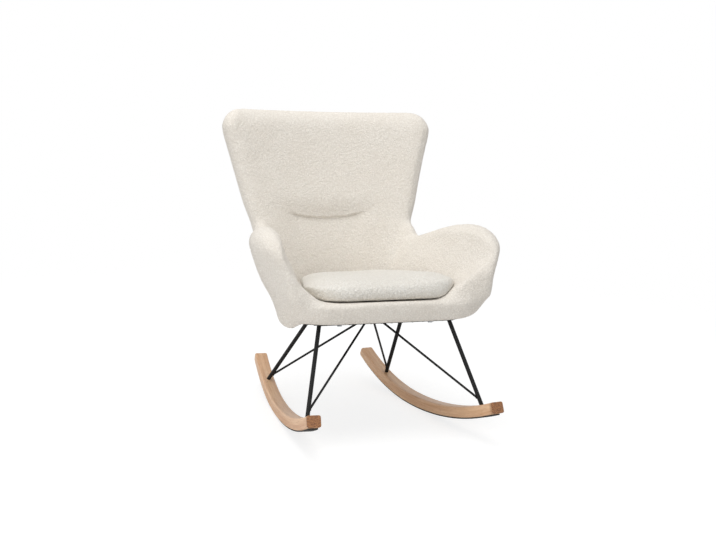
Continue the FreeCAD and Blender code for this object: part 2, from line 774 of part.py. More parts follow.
def base_shape():
    """The tub flares from the seat board to the deck as a quarter round."""
    bottom, deck = plan_of("base_bottom"), plan_of("base_deck")
    rings = []
    for turn in even(0, math.pi / 2, 6):
        out = math.sin(turn)
        plan = [low + out * (high - low) for low, high in zip(bottom, deck)]
        rings.append(rounded_ring(plan, SEAT_BOTTOM + (1 - math.cos(turn)) * (DECK - SEAT_BOTTOM)))
    return loft(rings)


def cushion_plan():
    """The cushion fills the deck between the arms, less a gap at each side."""
    front, rear = size("cushion_front"), size("cushion_rear")
    margin = size("arm_thickness") + size("cushion_side_gap")
    return (front, rear, deck_side(-front) - margin, deck_side(rear) - margin,
            size("cushion_front_corner"), size("cushion_rear_corner"))


def cushion_shape(inset):
    """A crowned cushion with rounded sides, drawn in all round by an inset."""
    half_height = size("cushion_height") / 2 - inset
    middle = DECK + size("cushion_gap") + size("cushion_height") / 2
    edge = size("cushion_edge")
    full_turn = math.radians(size("cushion_edge_turn"))
    profile = []
    for turn in even(-full_turn, full_turn, 10):
        height = half_height * math.sin(turn) / math.sin(full_turn)
        profile.append((middle + height, edge * (1 - math.cos(turn))))
    top, rim = profile[-1]
    for share in eased(0, 1, 4):
        run = size("cushion_crown_run") * (1 - math.sqrt(1 - share ** 2))
        profile.append((top + size("cushion_crown") * share, rim + run))
    rings = []
    for z, draw in profile:
        plan = inset_plan(cushion_plan(), draw + inset)
        rings.append(rounded_ring(plan[:4] + tuple(max(radius, edge) for radius in plan[4:]), z))
    return loft(rings)


# Padded arms: sections from the back forward to a rounded nose, along the tub's sides
def deck_side(y):
    """Half width of the tub's deck along its straight sides."""
    front, rear, front_half, rear_half = plan_of("base_deck")[:4]
    return front_half + (rear_half - front_half) * (y + front) / (front + rear)


def arm_section(y):
    """Centre at the deck, thickness, top height and rake of the arm at a place."""
    apex = -size("arm_apex")
    full = size("arm_thickness")
    if y >= apex:
        climb = (size("arm_rear") - y) / (size("arm_rear") - apex)
        thin = size("arm_rear_thickness")
        thick = thin + (full - thin) * math.sin(climb * math.pi / 2)
        swing = (1 - math.cos(climb * math.pi)) / 2
        top = size("arm_rear_height") + (size("arm_height") - size("arm_rear_height")) * swing
        return deck_side(y) - thick / 2, thick, top, size("arm_rear_rake") * (1 - climb)
    share = (apex - y) / (size("arm_front") + apex)
    thick = full * max((1 - share ** 2) ** size("arm_taper_power"), size("arm_nose_share"))
    fall = math.sqrt(1 - share ** 2)
    top = size("arm_nose_height") + (size("arm_height") - size("arm_nose_height")) * fall
    return deck_side(y) - full + thick / 2, thick, top, 0


def arm_ring(side, y):
    centre, thick, top, rake = arm_section(y)
    radius = thick / 2
    cap_x = centre + math.tan(math.radians(size("arm_lean"))) * (top - radius - DECK)

    def at(x, z):
        return Vector(side * x, y + rake * (z - DECK), z)

    foot_in, foot_out = at(centre - radius, DECK), at(centre + radius, DECK)
    cap_in, cap_out = at(cap_x - radius, top - radius), at(cap_x + radius, top - radius)
    slant = radius * math.sqrt(0.5)
    bulge = Vector(side * size("arm_swell") * thick / size("arm_thickness"), 0, 0)
    return Part.Wire([arc(foot_in, (foot_in + cap_in) * 0.5 - bulge, cap_in),
                      arc(cap_in, at(cap_x - slant, top - radius + slant), at(cap_x, top)),
                      arc(at(cap_x, top), at(cap_x + slant, top - radius + slant), cap_out),
                      arc(cap_out, (foot_out + cap_out) * 0.5 + bulge, foot_out),
                      line(foot_out, foot_in)])


def arm_shape(side):
    rear, apex, front = size("arm_rear"), -size("arm_apex"), -size("arm_front")
    places = even(rear, apex, 6) + eased(apex, front, 9)
    return loft([arm_ring(side, y) for y in places])


# Plywood arm boards and the brackets that tie the shell to the seat board
def arm_board_frame(side):
    """Rear foot of an arm board, and its directions along, up and out."""
    rear_y = size("arm_rear") - size("arm_board_setback")
    front_y = rear_y - size("arm_board_length")
    rear_x, front_x = arm_section(rear_y)[0], arm_section(front_y)[0]
    lean = math.radians(size("arm_lean"))
    drop = (DECK - SHELL_FOOT) * math.tan(lean)
    foot = Vector(side * (rear_x - drop), rear_y, SHELL_FOOT)
    along = Vector(side * (front_x - rear_x), front_y - rear_y, 0).normalize()
    out = Vector(-side * along.y, side * along.x, 0)
    up = (UP * math.cos(lean) + out * math.sin(lean)).normalize()
    return foot, along, up, out, lean


def arm_board(side_name, side):
    foot, along, up = arm_board_frame(side)[:3]
    body = doc.addObject("PartDesign::Body", f"arm_board_{side_name}_blank")
    sketch = new_sketch(body, f"arm_board_{side_name}_outline", "XY_Plane")
    rectangle(sketch, "sizes.arm_board_length", "sizes.arm_board_height",
              (size("arm_board_length"), size("arm_board_height")))
    solid = pad(body, sketch, "sizes.board_thickness", symmetric=True)
    round_edges(body, solid, "sizes.arm_board_corner",
                lambda edge: is_upright(edge) and edge.CenterOfMass.y > 0)
    middle = foot + along * (size("arm_board_length") / 2) + up * (size("arm_board_height") / 2)
    body.Placement = Placement(middle, Rotation(along, up, along.cross(up), "XYZ"))
    return body


def bracket(name, corner, inward, lean):
    """A bent strip: a foot along inward on the seat board and an upright that leans outward."""
    foot = doc.addObject("Part::Box", f"{name}_foot")
    upright = doc.addObject("Part::Box", f"{name}_upright")
    for bar, long_side in ((foot, "Length"), (upright, "Height")):
        bar.setExpression("Width", "sizes.bracket_width")
        for side in ("Length", "Height"):
            bar.setExpression(side, "sizes.bracket_thickness")
        bar.setExpression(long_side, f"sizes.bracket_{'foot' if bar is foot else 'upright'}")
    turn = Rotation(inward, UP.cross(inward), UP, "XYZ")
    middle = Placement(Vector(0, -size("bracket_width") / 2, 0), Rotation())
    foot.Placement = Placement(corner, turn).multiply(middle)
    tilt = Placement(Vector(), Rotation(Vector(0, 1, 0), -math.degrees(lean)))
    upright.Placement = Placement(corner, turn).multiply(tilt).multiply(middle)
    whole = doc.addObject("Part::Fuse", name)
    whole.Base = foot
    whole.Tool = upright
    doc.recompute()

    # one bolt down into the seat board and one out into the shell
    inner = corner + inward * size("bracket_foot_bolt") + UP * size("bracket_thickness")
    face = Placement(corner, turn).multiply(tilt)
    outer = face.multVec(Vector(size("bracket_thickness"), 0, size("bracket_upright_bolt")))
    outward = face.Rotation.multVec(Vector(-1, 0, 0))
    length = size("bracket_thickness") + size("bracket_bolt_grip")
    bolts = [bolt(f"{name}_floor_bolt", inner, -UP, "bracket_bolt", length),
             bolt(f"{name}_shell_bolt", outer, outward, "bracket_bolt", length)]
    return whole, bolts


def build_shell():
    """Boards, brackets, dust cover and the padding that is fitted round them."""
    boards = {side_name: arm_board(side_name, side) for side_name, side in SIDES.items()}
    back_blank = doc.addObject("Part::Feature", "back_board_blank")
    back_blank.Shape = back_board_shape()

    brackets, bolts = [], []
    for side_name, side in SIDES.items():
        foot, along, up, out, lean = arm_board_frame(side)
        normal = out * math.cos(lean) - UP * math.sin(lean)
        inner_face = foot - normal * (size("board_thickness") / 2)
        inner_face = inner_face + up * ((BOARD_TOP - inner_face.z) / up.z)
        for place, run in (("rear", size("bracket_inset")),
                           ("front", size("arm_board_length") - size("bracket_inset"))):
            made = bracket(f"arm_bracket_{place}_{side_name}", inner_face + along * run, out * -1, lean)
            brackets.append(made[0])
            bolts += made[1]
        angle = math.asin(side * size("back_bracket_spread") / 2 / back_arc(BOARD_TOP)[0])
        half = size("back_board_thickness") / 2
        low = back_point(BOARD_TOP, angle, -half)
        high = back_point(BOARD_TOP + size("bracket_upright"), angle, -half)
        inward = Vector(-math.sin(angle), -math.cos(angle), 0)
        recline = math.atan2((low - high).dot(inward), high.z - low.z)
        curve = size("bracket_width") ** 2 / 8 / back_arc(BOARD_TOP)[0]
        made = bracket(f"back_bracket_{side_name}", low + inward * (size("seat_gap") + curve), inward, recline)
        brackets.append(made[0])
        bolts += made[1]
    bolt_set = doc.addObject("Part::Compound", "bracket_bolt_set")
    bolt_set.Links = bolts
    doc.recompute()

    seat_board = build_seat_board(bolt_set)
    for side_name, blank in boards.items():
        drilled = cut(f"arm_board_{side_name}", blank, bolt_set)
        boards[side_name] = keep_leaning(drilled, f"arm_board_{side_name}")
    back_board = keep_leaning(cut("back_board", back_blank, bolt_set), "back_board")
    tied = [cut(f"drilled_bracket_{i}", blank, bolt_set) for i, blank in enumerate(brackets)]
    bracket_group = keep_leaning(group("frame_brackets", tied), "frame_brackets")
    bolt_group = keep_leaning(group("bracket_bolts", bolts), "bracket_bolts")
    return seat_board, boards, back_board, bracket_group, bolt_group


def sheet_under_seat(label, margin, thickness, z, hole, clearance):
    """A sheet inside the tub's bottom by a margin, with a hole at each frame bolt."""
    body = doc.addObject("PartDesign::Body", label)
    sketch = new_sketch(body, f"{label}_outline", "XY_Plane")
    front, rear, front_half, rear_half = inset_plan(plan_of("base_bottom"), size(margin))[:4]
    slope = ("((sizes.base_bottom_front_width - sizes.base_bottom_rear_width) / 2"
             " / (sizes.base_bottom_front + sizes.base_bottom_rear))")
    slant = f"sqrt(1 + {slope} ^ 2)"
    trapezoid(sketch, f"sizes.base_bottom_front_width - 2 * sizes.{margin} * ({slant} + {slope})",
              f"sizes.base_bottom_rear_width - 2 * sizes.{margin} * ({slant} - {slope})",
              f"sizes.base_bottom_front - sizes.{margin}", f"sizes.base_bottom_rear - sizes.{margin}",
              (2 * front_half, 2 * rear_half, front, rear))
    for end, sign in (("front", 1), ("rear", -1)):
        ahead = size("frame_offset") + sign * size("frame_depth") / 2
        hole_pair(sketch, f"sizes.{hole} / 2 + {clearance}", f"sizes.{end}_bolt_spread",
                  f"sizes.frame_offset + {sign} * sizes.frame_depth / 2",
                  (size(hole) / 2, size(f"{end}_bolt_spread") / 2, ahead))
    last = pad(body, sketch, f"sizes.{thickness}")
    for end, half in (("front", front_half), ("rear", rear_half)):
        last = round_edges(body, last, f"sizes.base_bottom_{end}_corner - sizes.{margin}",
                           lambda edge: is_upright(edge) and abs(abs(edge.CenterOfMass.x) - half) < 0.01)
    body.Placement = Placement(Vector(0, 0, z), Rotation())
    return body


def build_seat_board(bolt_set):
    """Seat board under the tub, and the dust cover stretched below it."""
    cover = sheet_under_seat("dust_cover_sheet", "dust_cover_margin", "dust_cover_thickness", RAIL_TOP,
                             "frame_bolt_diameter", "sizes.bolt_clearance")
    keep_leaning(cover, "dust_cover")
    blank = sheet_under_seat("seat_board_blank", "board_margin", "board_thickness", SEAT_BOTTOM,
                             "nut_barrel", "0 * sizes.bolt_clearance")
    return keep_leaning(cut("seat_board", blank, bolt_set), "seat_board")


def build_front_block():
    """Hardwood block on the seat board that backs the front roll."""
    block = doc.addObject("Part::Box", "front_block")
    for side, name in (("Length", "length"), ("Width", "depth"), ("Height", "height")):
        block.setExpression(side, f"sizes.front_block_{name}")
    front_y = size("front_block_setback") - size("base_bottom_front")
    block.Placement = Placement(Vector(-size("front_block_length") / 2, front_y, BOARD_TOP), Rotation())
    doc.recompute()
    return keep_leaning(block, "front_block")


def build_padding(nut_blanks, seat_board, boards, back_board, brackets, bracket_bolts):
    """Each pad is its outer form less the boards, fixings and pads that it is fitted round."""
    front_block = build_front_block()
    fixings = [brackets.Shape, bracket_bolts.Shape]
    arm_boards = [board.Shape for board in boards.values()]
    seam = size("back_seam_gap")
    spare = size("arm_seam_gap")
    back_ends = [lower_back(0, spare), rear_back(spare)]
    feature("base_pad", base_shape().cut([seat_board.Shape, front_block.Shape, back_board.Shape]
                                         + [nut.Shape for nut in nut_blanks] + arm_boards + fixings))
    for side_name, side in SIDES.items():
        whole = arm_shape(side).cut(back_ends)
        feature(f"arm_pad_{side_name}", whole.cut([boards[side_name].Shape, back_board.Shape] + fixings))
    feature("back_pad_upper", upper_back(seam).cut([back_board.Shape]))
    feature("back_pad_lower", lower_back(seam, 0).cut([back_board.Shape] + fixings))
    feature("rear_pad", rear_back(0).cut([back_board.Shape] + fixings))


# Loose cushion with its foam, zip and slider
def build_cushion():
    middle_z = DECK + size("cushion_gap") + size("cushion_height") / 2
    rear_y = size("cushion_rear")
    track = doc.addObject("Part::Box", "cushion_zip")
    track.setExpression("Length", "sizes.zip_length")
    track.setExpression("Width", "sizes.zip_depth + sizes.zip_proud")
    track.setExpression("Height", "sizes.zip_width")
    track.Placement = Placement(Vector(-size("zip_length") / 2, rear_y - size("zip_depth"),
                                       middle_z - size("zip_width") / 2), Rotation())
    slider = doc.addObject("Part::Box", "zip_slider")
    slider.setExpression("Length", "sizes.slider_length")
    slider.setExpression("Width", "sizes.slider_height")
    slider.setExpression("Height", "sizes.slider_width")
    slider_y = rear_y + size("zip_proud") + size("cushion_gap")
    slider.Placement = Placement(Vector(-size("zip_length") / 2, slider_y,
                                        middle_z - size("slider_width") / 2), Rotation())
    doc.recompute()
    keep_leaning(track, "cushion_zip")
    keep_leaning(slider, "zip_slider")
    foam = cushion_shape(size("cover_thickness"))
    feature("cushion_foam", foam)
    feature("cushion_cover", cushion_shape(0).cut([foam, track.Shape]))


build_base()
nut_blanks = build_frame()
build_padding(nut_blanks, *build_shell())
build_cushion()
doc.recompute()

for obj in doc.Objects:
    if "Invalid" in obj.State or "Error" in obj.State:
        raise RuntimeError(f"{obj.Label} did not recompute: {obj.State}")
for piece in pieces:
    if piece.Shape.isNull() or not piece.Shape.isValid():
        raise RuntimeError(f"{piece.Label} has no valid shape")

os.makedirs("parts", exist_ok=True)
for piece in pieces:
    piece.Shape.exportStep(f"parts/{piece.Label}.step")
    solids = piece.Shape.Solids
    print(f"{piece.Label}: {len(solids)} solid(s), {sum(s.Volume for s in solids) / 1000:.1f} cm3")
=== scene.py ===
import math
import bmesh
import bpy
import numpy as np
from mathutils import Euler, Matrix, Vector, noise
from mathutils.bvhtree import BVHTree


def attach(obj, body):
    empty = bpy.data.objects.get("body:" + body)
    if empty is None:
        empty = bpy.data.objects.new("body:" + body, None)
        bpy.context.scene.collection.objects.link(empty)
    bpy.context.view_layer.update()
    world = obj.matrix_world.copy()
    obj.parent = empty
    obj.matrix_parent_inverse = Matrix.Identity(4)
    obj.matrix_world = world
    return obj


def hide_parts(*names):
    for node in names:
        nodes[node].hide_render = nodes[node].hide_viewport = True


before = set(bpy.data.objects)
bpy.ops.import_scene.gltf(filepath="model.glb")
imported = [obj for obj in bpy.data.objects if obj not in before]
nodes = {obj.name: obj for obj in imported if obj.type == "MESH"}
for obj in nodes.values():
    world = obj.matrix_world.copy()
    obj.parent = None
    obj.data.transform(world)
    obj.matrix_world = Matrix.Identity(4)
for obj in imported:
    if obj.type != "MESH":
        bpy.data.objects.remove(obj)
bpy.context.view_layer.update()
scene = bpy.context.scene
scene.view_settings.view_transform = "Standard"
white = (1.0, 1.0, 1.0, 1.0)


# node helpers
def feed(tree, value, socket):
    if isinstance(value, bpy.types.NodeSocket):
        tree.links.new(value, socket)
    else:
        socket.default_value = value


def addNode(tree, kind, inputs=None, **settings):  # inputs go by name or by number
    node = tree.nodes.new(kind)
    for name, value in settings.items():
        setattr(node, name, value)
    for key, value in (inputs or {}).items():
        feed(tree, value, node.inputs[key])
    return node.outputs


def mathNode(tree, operation, first, second=0.0, third=0.0):
    return addNode(tree, "ShaderNodeMath", {0: first, 1: second, 2: third}, operation=operation)[0]


def vectorNode(tree, operation, first, second):
    return addNode(tree, "ShaderNodeVectorMath", {0: first, 1: second}, operation=operation)[0]


def lengthOf(tree, vector):
    return addNode(tree, "ShaderNodeVectorMath", {0: vector}, operation="LENGTH")["Value"]


def splitVector(tree, vector):
    return addNode(tree, "ShaderNodeSeparateXYZ", {0: vector})


def joinVector(tree, x=0.0, y=0.0, z=0.0):
    return addNode(tree, "ShaderNodeCombineXYZ", {"X": x, "Y": y, "Z": z})[0]


def noiseNode(tree, vector, scale, detail=2.0, roughness=0.5):
    return addNode(tree, "ShaderNodeTexNoise", {
        "Vector": vector, "Scale": scale, "Detail": detail, "Roughness": roughness})


def cellNode(tree, vector, scale, feature):
    inputs = {"Vector": vector, "Scale": scale}
    return addNode(tree, "ShaderNodeTexVoronoi", inputs, feature=feature)["Distance"]


def between(tree, value, low, high, toLow=0.0, toHigh=1.0):
    return addNode(tree, "ShaderNodeMapRange", {
        "Value": value, "From Min": low, "From Max": high, "To Min": toLow, "To Max": toHigh}, clamp=True)["Result"]


def mixColor(tree, share, first, second):
    return addNode(tree, "ShaderNodeMix", {"Factor": share, 6: first, 7: second}, data_type="RGBA")[2]


def makeGroup(name, inputs, outputs):
    group = bpy.data.node_groups.new(name, "ShaderNodeTree")
    for label, kind, value in inputs:
        socket = group.interface.new_socket(label, in_out="INPUT", socket_type="NodeSocket" + kind)
        if value is not None:
            socket.default_value = value
    for label, kind in outputs:
        group.interface.new_socket(label, in_out="OUTPUT", socket_type="NodeSocket" + kind)
    return group, group.nodes.new("NodeGroupInput").outputs, group.nodes.new("NodeGroupOutput").inputs


def placeGroup(tree, group, inputs):
    return addNode(tree, "ShaderNodeGroup", inputs, node_tree=group)


def linear(red, green, blue):
    def channel(value):
        value = value / 255
        return value / 12.92 if value <= 0.04045 else ((value + 0.055) / 1.055) ** 2.4
    return channel(red), channel(green), channel(blue), 1.0


def startMaterial(name, values):
    material = bpy.data.materials.new(name)
    material.use_nodes = True
    tree = material.node_tree
    skin = tree.nodes["Principled BSDF"].inputs
    for label, value in values.items():
        skin[label].default_value = value
    place = addNode(tree, "ShaderNodeTexCoord")["Object"]
    return material, tree, skin, place


def roughen(tree, skin, height, strength, distance):
    bump = addNode(tree, "ShaderNodeBump", {"Strength": strength, "Distance": distance, "Height": height})
    tree.links.new(bump["Normal"], skin["Normal"])


# shared effects
def curlyLoops():
    loop = {
        "swayScale": 0.6, "sway": 1.6, "curlScale": 2.3, "fibreScale": 4.5, "nubFall": -1.1, "curlFall": -1.0,
        "nubShare": 0.55, "curlShare": 0.3, "fibreShare": 0.25, "creviceEdge": 0.14, "creviceFloor": 0.01,
        "creviceDepth": -0.12, "paintedShadeTop": 0.82, "paintedShadeFloor": 0.42, "paintedShadeShare": 0.75,
    }
    tree, given, out = makeGroup(
        "curlyLoops",
        [("Vector", "Vector", None), ("Loop Size", "Float", 0.006)],
        [("Height", "Float"), ("Painted Shade", "Float")],
    )
    place = given["Vector"]
    density = mathNode(tree, "DIVIDE", 1.0, given["Loop Size"])

    def denser(times):
        return mathNode(tree, "MULTIPLY", density, times)

    sway = vectorNode(tree, "SUBTRACT", noiseNode(tree, place, denser(loop["swayScale"]))["Color"], (0.5, 0.5, 0.5))
    reach = mathNode(tree, "MULTIPLY", given["Loop Size"], loop["sway"])
    sway = addNode(tree, "ShaderNodeVectorMath", {0: sway, "Scale": reach}, operation="SCALE")[0]
    wandering = vectorNode(tree, "ADD", place, sway)
    nub = mathNode(tree, "MULTIPLY_ADD", cellNode(tree, wandering, density, "SMOOTH_F1"), loop["nubFall"], 1.0)
    cells = cellNode(tree, wandering, denser(loop["curlScale"]), "F1")
    curl = mathNode(tree, "MULTIPLY_ADD", cells, loop["curlFall"], 1.0)
    fibre = noiseNode(tree, place, denser(loop["fibreScale"]), 3.0, 0.6)["Fac"]
    height = mathNode(tree, "MULTIPLY_ADD", nub, loop["nubShare"],
                      mathNode(tree, "MULTIPLY", curl, loop["curlShare"]))
    height = mathNode(tree, "MULTIPLY_ADD", fibre, loop["fibreShare"], height)
    edge = cellNode(tree, wandering, density, "DISTANCE_TO_EDGE")
    crevice = between(tree, edge, loop["creviceEdge"], loop["creviceFloor"])  # shade between the curls
    height = mathNode(tree, "MULTIPLY_ADD", crevice, loop["creviceDepth"], height)
    # painted shade: the low parts of the pile and the crevices between the curls are darkened in the colour
    paintedShade = between(tree, height, loop["paintedShadeTop"], loop["paintedShadeFloor"])
    paintedShade = mathNode(tree, "MULTIPLY", paintedShade, loop["paintedShadeShare"])
    tree.links.new(height, out["Height"])
    tree.links.new(mathNode(tree, "MAXIMUM", paintedShade, crevice), out["Painted Shade"])
    return tree


def broadPatches():
    tree, given, out = makeGroup(
        "broadPatches",
        [("Vector", "Vector", None), ("Patch Size", "Float", 0.08)],
        [("Patch", "Float")],
    )
    density = mathNode(tree, "DIVIDE", 1.0, given["Patch Size"])
    cloud = noiseNode(tree, given["Vector"], density, 3.0)["Fac"]
    tree.links.new(between(tree, cloud, 0.3, 0.7), out["Patch"])
    return tree


def speckle():
    tree, given, out = makeGroup(
        "speckle",
        [("Vector", "Vector", None), ("Grain Size", "Float", 0.001)],
        [("Height", "Float"), ("Worn", "Float")],
    )
    wideShare = 0.03
    density = mathNode(tree, "DIVIDE", 1.0, given["Grain Size"])
    fine = noiseNode(tree, given["Vector"], density)["Fac"]
    wide = noiseNode(tree, given["Vector"], mathNode(tree, "MULTIPLY", density, wideShare), 3.0)["Fac"]
    tree.links.new(fine, out["Height"])
    tree.links.new(between(tree, wide, 0.35, 0.7), out["Worn"])
    return tree


def woodFigure():
    grain = {"rings": 160.0, "broad": 45.0, "streak": 900.0, "broadShare": 0.5, "ringShare": 0.5}
    tree, given, out = makeGroup(
        "woodFigure",
        [("Vector", "Vector", None), ("Stretch", "Float", 22.0)],
        [("Figure", "Float"), ("Pores", "Float")],
    )
    parts = splitVector(tree, given["Vector"])
    along = mathNode(tree, "DIVIDE", parts["Y"], given["Stretch"])
    squeezed = joinVector(tree, parts["X"], along, parts["Z"])
    rings = noiseNode(tree, squeezed, grain["rings"], 3.0, 0.55)["Fac"]
    broad = noiseNode(tree, squeezed, grain["broad"])["Fac"]
    streak = noiseNode(tree, squeezed, grain["streak"], 2.0, 0.6)["Fac"]
    figure = mathNode(tree, "MULTIPLY_ADD", broad, grain["broadShare"],
                      mathNode(tree, "MULTIPLY", rings, grain["ringShare"]))
    tree.links.new(between(tree, figure, 0.36, 0.64), out["Figure"])
    tree.links.new(between(tree, streak, 0.56, 0.72), out["Pores"])
    return tree


def bentLength():  # straightens a rocker, so that the grain runs along its bend
    tree, given, out = makeGroup(
        "bentLength",
        [("Vector", "Vector", None), ("Front Radius", "Float", 1.2), ("Rear Radius", "Float", 0.85),
         ("Splay", "Float", 0.0), ("Half Spacing", "Float", 0.2)],
        [("Vector", "Vector"), ("Along", "Float")],
    )
    parts = splitVector(tree, given["Vector"])
    side = mathNode(tree, "SUBTRACT", mathNode(tree, "ABSOLUTE", parts["X"]), given["Half Spacing"])
    cosine = mathNode(tree, "COSINE", given["Splay"])
    sine = mathNode(tree, "SINE", given["Splay"])
    depth = mathNode(tree, "SUBTRACT", mathNode(tree, "MULTIPLY", parts["Y"], cosine),
                     mathNode(tree, "MULTIPLY", side, sine))
    across = mathNode(tree, "MULTIPLY_ADD", side, cosine, mathNode(tree, "MULTIPLY", parts["Y"], sine))
    behind = mathNode(tree, "GREATER_THAN", depth, 0.0)
    radius = between(tree, behind, 0.0, 1.0, given["Front Radius"], given["Rear Radius"])
    drop = mathNode(tree, "SUBTRACT", radius, parts["Z"])
    square = mathNode(tree, "MULTIPLY_ADD", depth, depth, mathNode(tree, "MULTIPLY", drop, drop))
    height = mathNode(tree, "SUBTRACT", radius, mathNode(tree, "SQRT", square))
    along = mathNode(tree, "MULTIPLY", mathNode(tree, "ARCTAN2", depth, drop), radius)
    tree.links.new(joinVector(tree, across, along, height), out["Vector"])
    tree.links.new(along, out["Along"])
    return tree


effects = {
    "loops": curlyLoops(), "patches": broadPatches(), "speckle": speckle(),
    "figure": woodFigure(), "bent": bentLength(),
}
print("shared effects ready")


# finishes
def boucleFinish(name, look):
    material, tree, skin, place = startMaterial(name, {
        "Roughness": 0.95, "Specular IOR Level": 0.1, "Sheen Weight": look["sheen"], "Sheen Roughness": 0.6})
    loops = placeGroup(tree, effects["loops"], {"Vector": place, "Loop Size": look["loopSize"]})
    patches = placeGroup(tree, effects["patches"], {"Vector": place, "Patch Size": look["patchSize"]})
    cloth = mixColor(tree, patches["Patch"], look["light"], look["warm"])
    # painted shade: the cloth is mixed toward the darker shade colour in the hollows and crevices between the curls
    shade = mathNode(tree, "MULTIPLY", loops["Painted Shade"], look["paintedShadeShare"])
    tree.links.new(mixColor(tree, shade, cloth, look["paintedShade"]), skin["Base Color"])
    roughen(tree, skin, loops["Height"], look["bump"], look["loopSize"] * look["relief"])
    return material


# the darkest colour here is the painted shade between the curls
shellLook = {
    "loopSize": 0.0068, "patchSize": 0.12, "light": linear(243, 238, 230), "warm": linear(239, 233, 224),
    "paintedShade": linear(196, 186, 171), "paintedShadeShare": 0.42, "sheen": 0.15, "bump": 0.8, "relief": 0.65,
}
cushionLook = dict(shellLook, light=linear(246, 244, 238), warm=linear(242, 239, 232),
                   paintedShade=linear(196, 187, 173), loopSize=0.0078, bump=1.0)


def rockerFinish():
    look = {
        "frontRadius": 1.2, "rearRadius": 0.85, "splay": math.radians(6.5), "halfSpacing": 0.2385, "frontEnd": -0.5143,
        "pale": linear(236, 197, 159), "ring": linear(198, 146, 104), "pore": linear(158, 108, 72), "stretch": 22.0,
        "ringShare": 0.8, "poreShare": 0.5, "poreDepth": 0.0004,
        "endGrain": linear(182, 126, 80), "endPore": linear(80, 48, 33), "heartSide": 0.012, "heartDrop": -0.03,
        "ringStep": 0.0022, "ringDark": 0.45, "poreDark": 0.55, "wanderScale": 260.0, "wander": 0.004,
        "stain": 0.016, "stainFray": 0.014, "stainShare": 0.75, "cutStart": 0.0012, "cutEnd": 0.0004,
    }
    frontEnd = look["frontEnd"]
    material, tree, skin, place = startMaterial("rockerAsh", {})
    bent = placeGroup(tree, effects["bent"], {
        "Vector": place, "Front Radius": look["frontRadius"], "Rear Radius": look["rearRadius"],
        "Splay": look["splay"], "Half Spacing": look["halfSpacing"]})
    wood = placeGroup(tree, effects["figure"], {"Vector": bent["Vector"], "Stretch": look["stretch"]})
    color = mixColor(tree, mathNode(tree, "MULTIPLY", wood["Figure"], look["ringShare"]), look["pale"], look["ring"])
    color = mixColor(tree, mathNode(tree, "MULTIPLY", wood["Pores"], look["poreShare"]), color, look["pore"])

    heart = vectorNode(tree, "SUBTRACT", bent["Vector"], (look["heartSide"], frontEnd, look["heartDrop"]))
    wander = noiseNode(tree, bent["Vector"], look["wanderScale"], 3.0, 0.6)["Fac"]
    away = mathNode(tree, "MULTIPLY_ADD", wander, look["wander"], lengthOf(tree, heart))
    rings = mathNode(tree, "DIVIDE", mathNode(tree, "PINGPONG", away, look["ringStep"]), look["ringStep"])
    pores = between(tree, wander, 0.35, 0.65, 0.0, look["poreDark"])
    dark = mathNode(tree, "MULTIPLY_ADD", rings, look["ringDark"], pores)
    endWood = mixColor(tree, dark, look["endGrain"], look["endPore"])  # growth rings on the cut end
    swing = mathNode(tree, "SUBTRACT", wander, 0.5)
    frayed = mathNode(tree, "MULTIPLY_ADD", swing, look["stainFray"], bent["Along"])
    stain = between(tree, frayed, frontEnd + look["stain"], frontEnd, 0.0, look["stainShare"])
    cut = between(tree, bent["Along"], frontEnd + look["cutStart"], frontEnd + look["cutEnd"])
    color = mixColor(tree, mathNode(tree, "MAXIMUM", stain, cut), color, endWood)
    tree.links.new(color, skin["Base Color"])
    tree.links.new(between(tree, wood["Pores"], 0.0, 1.0, 0.38, 0.55), skin["Roughness"])
    roughen(tree, skin, wood["Pores"], 0.15, look["poreDepth"])
    return material


def powderFinish(name, look):
    material, tree, skin, place = startMaterial(name, {
        "Metallic": look.get("metallic", 0.0), "Specular IOR Level": look.get("gloss", 0.5)})
    unevenness, grainDepth = 0.06, 0.4
    grain = placeGroup(tree, effects["speckle"], {"Vector": place, "Grain Size": look["grain"]})
    tree.links.new(mixColor(tree, grain["Worn"], look["color"], look["worn"]), skin["Base Color"])
    rough = between(tree, grain["Height"], 0.3, 0.7, look["roughness"] - unevenness, look["roughness"] + unevenness)
    tree.links.new(rough, skin["Roughness"])
    roughen(tree, skin, grain["Height"], look["bump"], look["grain"] * grainDepth)
    return material


def plywoodFinish():
    look = {"veneer": linear(214, 180, 138), "dark": linear(178, 138, 96), "ply": 0.0016, "stretch": 14.0,
            "figureShare": 0.5, "plyShare": 0.3, "poreDepth": 0.0003}
    material, tree, skin, place = startMaterial("birchPly", {"Roughness": 0.6})
    wood = placeGroup(tree, effects["figure"], {"Vector": place, "Stretch": look["stretch"]})
    layers = mathNode(tree, "PINGPONG", splitVector(tree, place)["Z"], look["ply"])
    layers = between(tree, layers, 0.0, look["ply"], 0.0, look["plyShare"])
    share = mathNode(tree, "MULTIPLY_ADD", wood["Figure"], look["figureShare"], layers)
    tree.links.new(mixColor(tree, share, look["veneer"], look["dark"]), skin["Base Color"])
    roughen(tree, skin, wood["Pores"], 0.2, look["poreDepth"])
    return material


def dustClothFinish():
    look = {"thread": linear(48, 46, 44), "gap": linear(26, 25, 24), "loop": 0.0024, "depth": 0.0006}
    material, tree, skin, place = startMaterial("dustCloth", {"Roughness": 0.9})
    web = placeGroup(tree, effects["loops"], {"Vector": place, "Loop Size": look["loop"]})
    # painted shade: the gaps between the threads are darkened by the curl shade mask
    tree.links.new(mixColor(tree, web["Painted Shade"], look["thread"], look["gap"]), skin["Base Color"])
    roughen(tree, skin, web["Height"], 0.4, look["depth"])
    return material


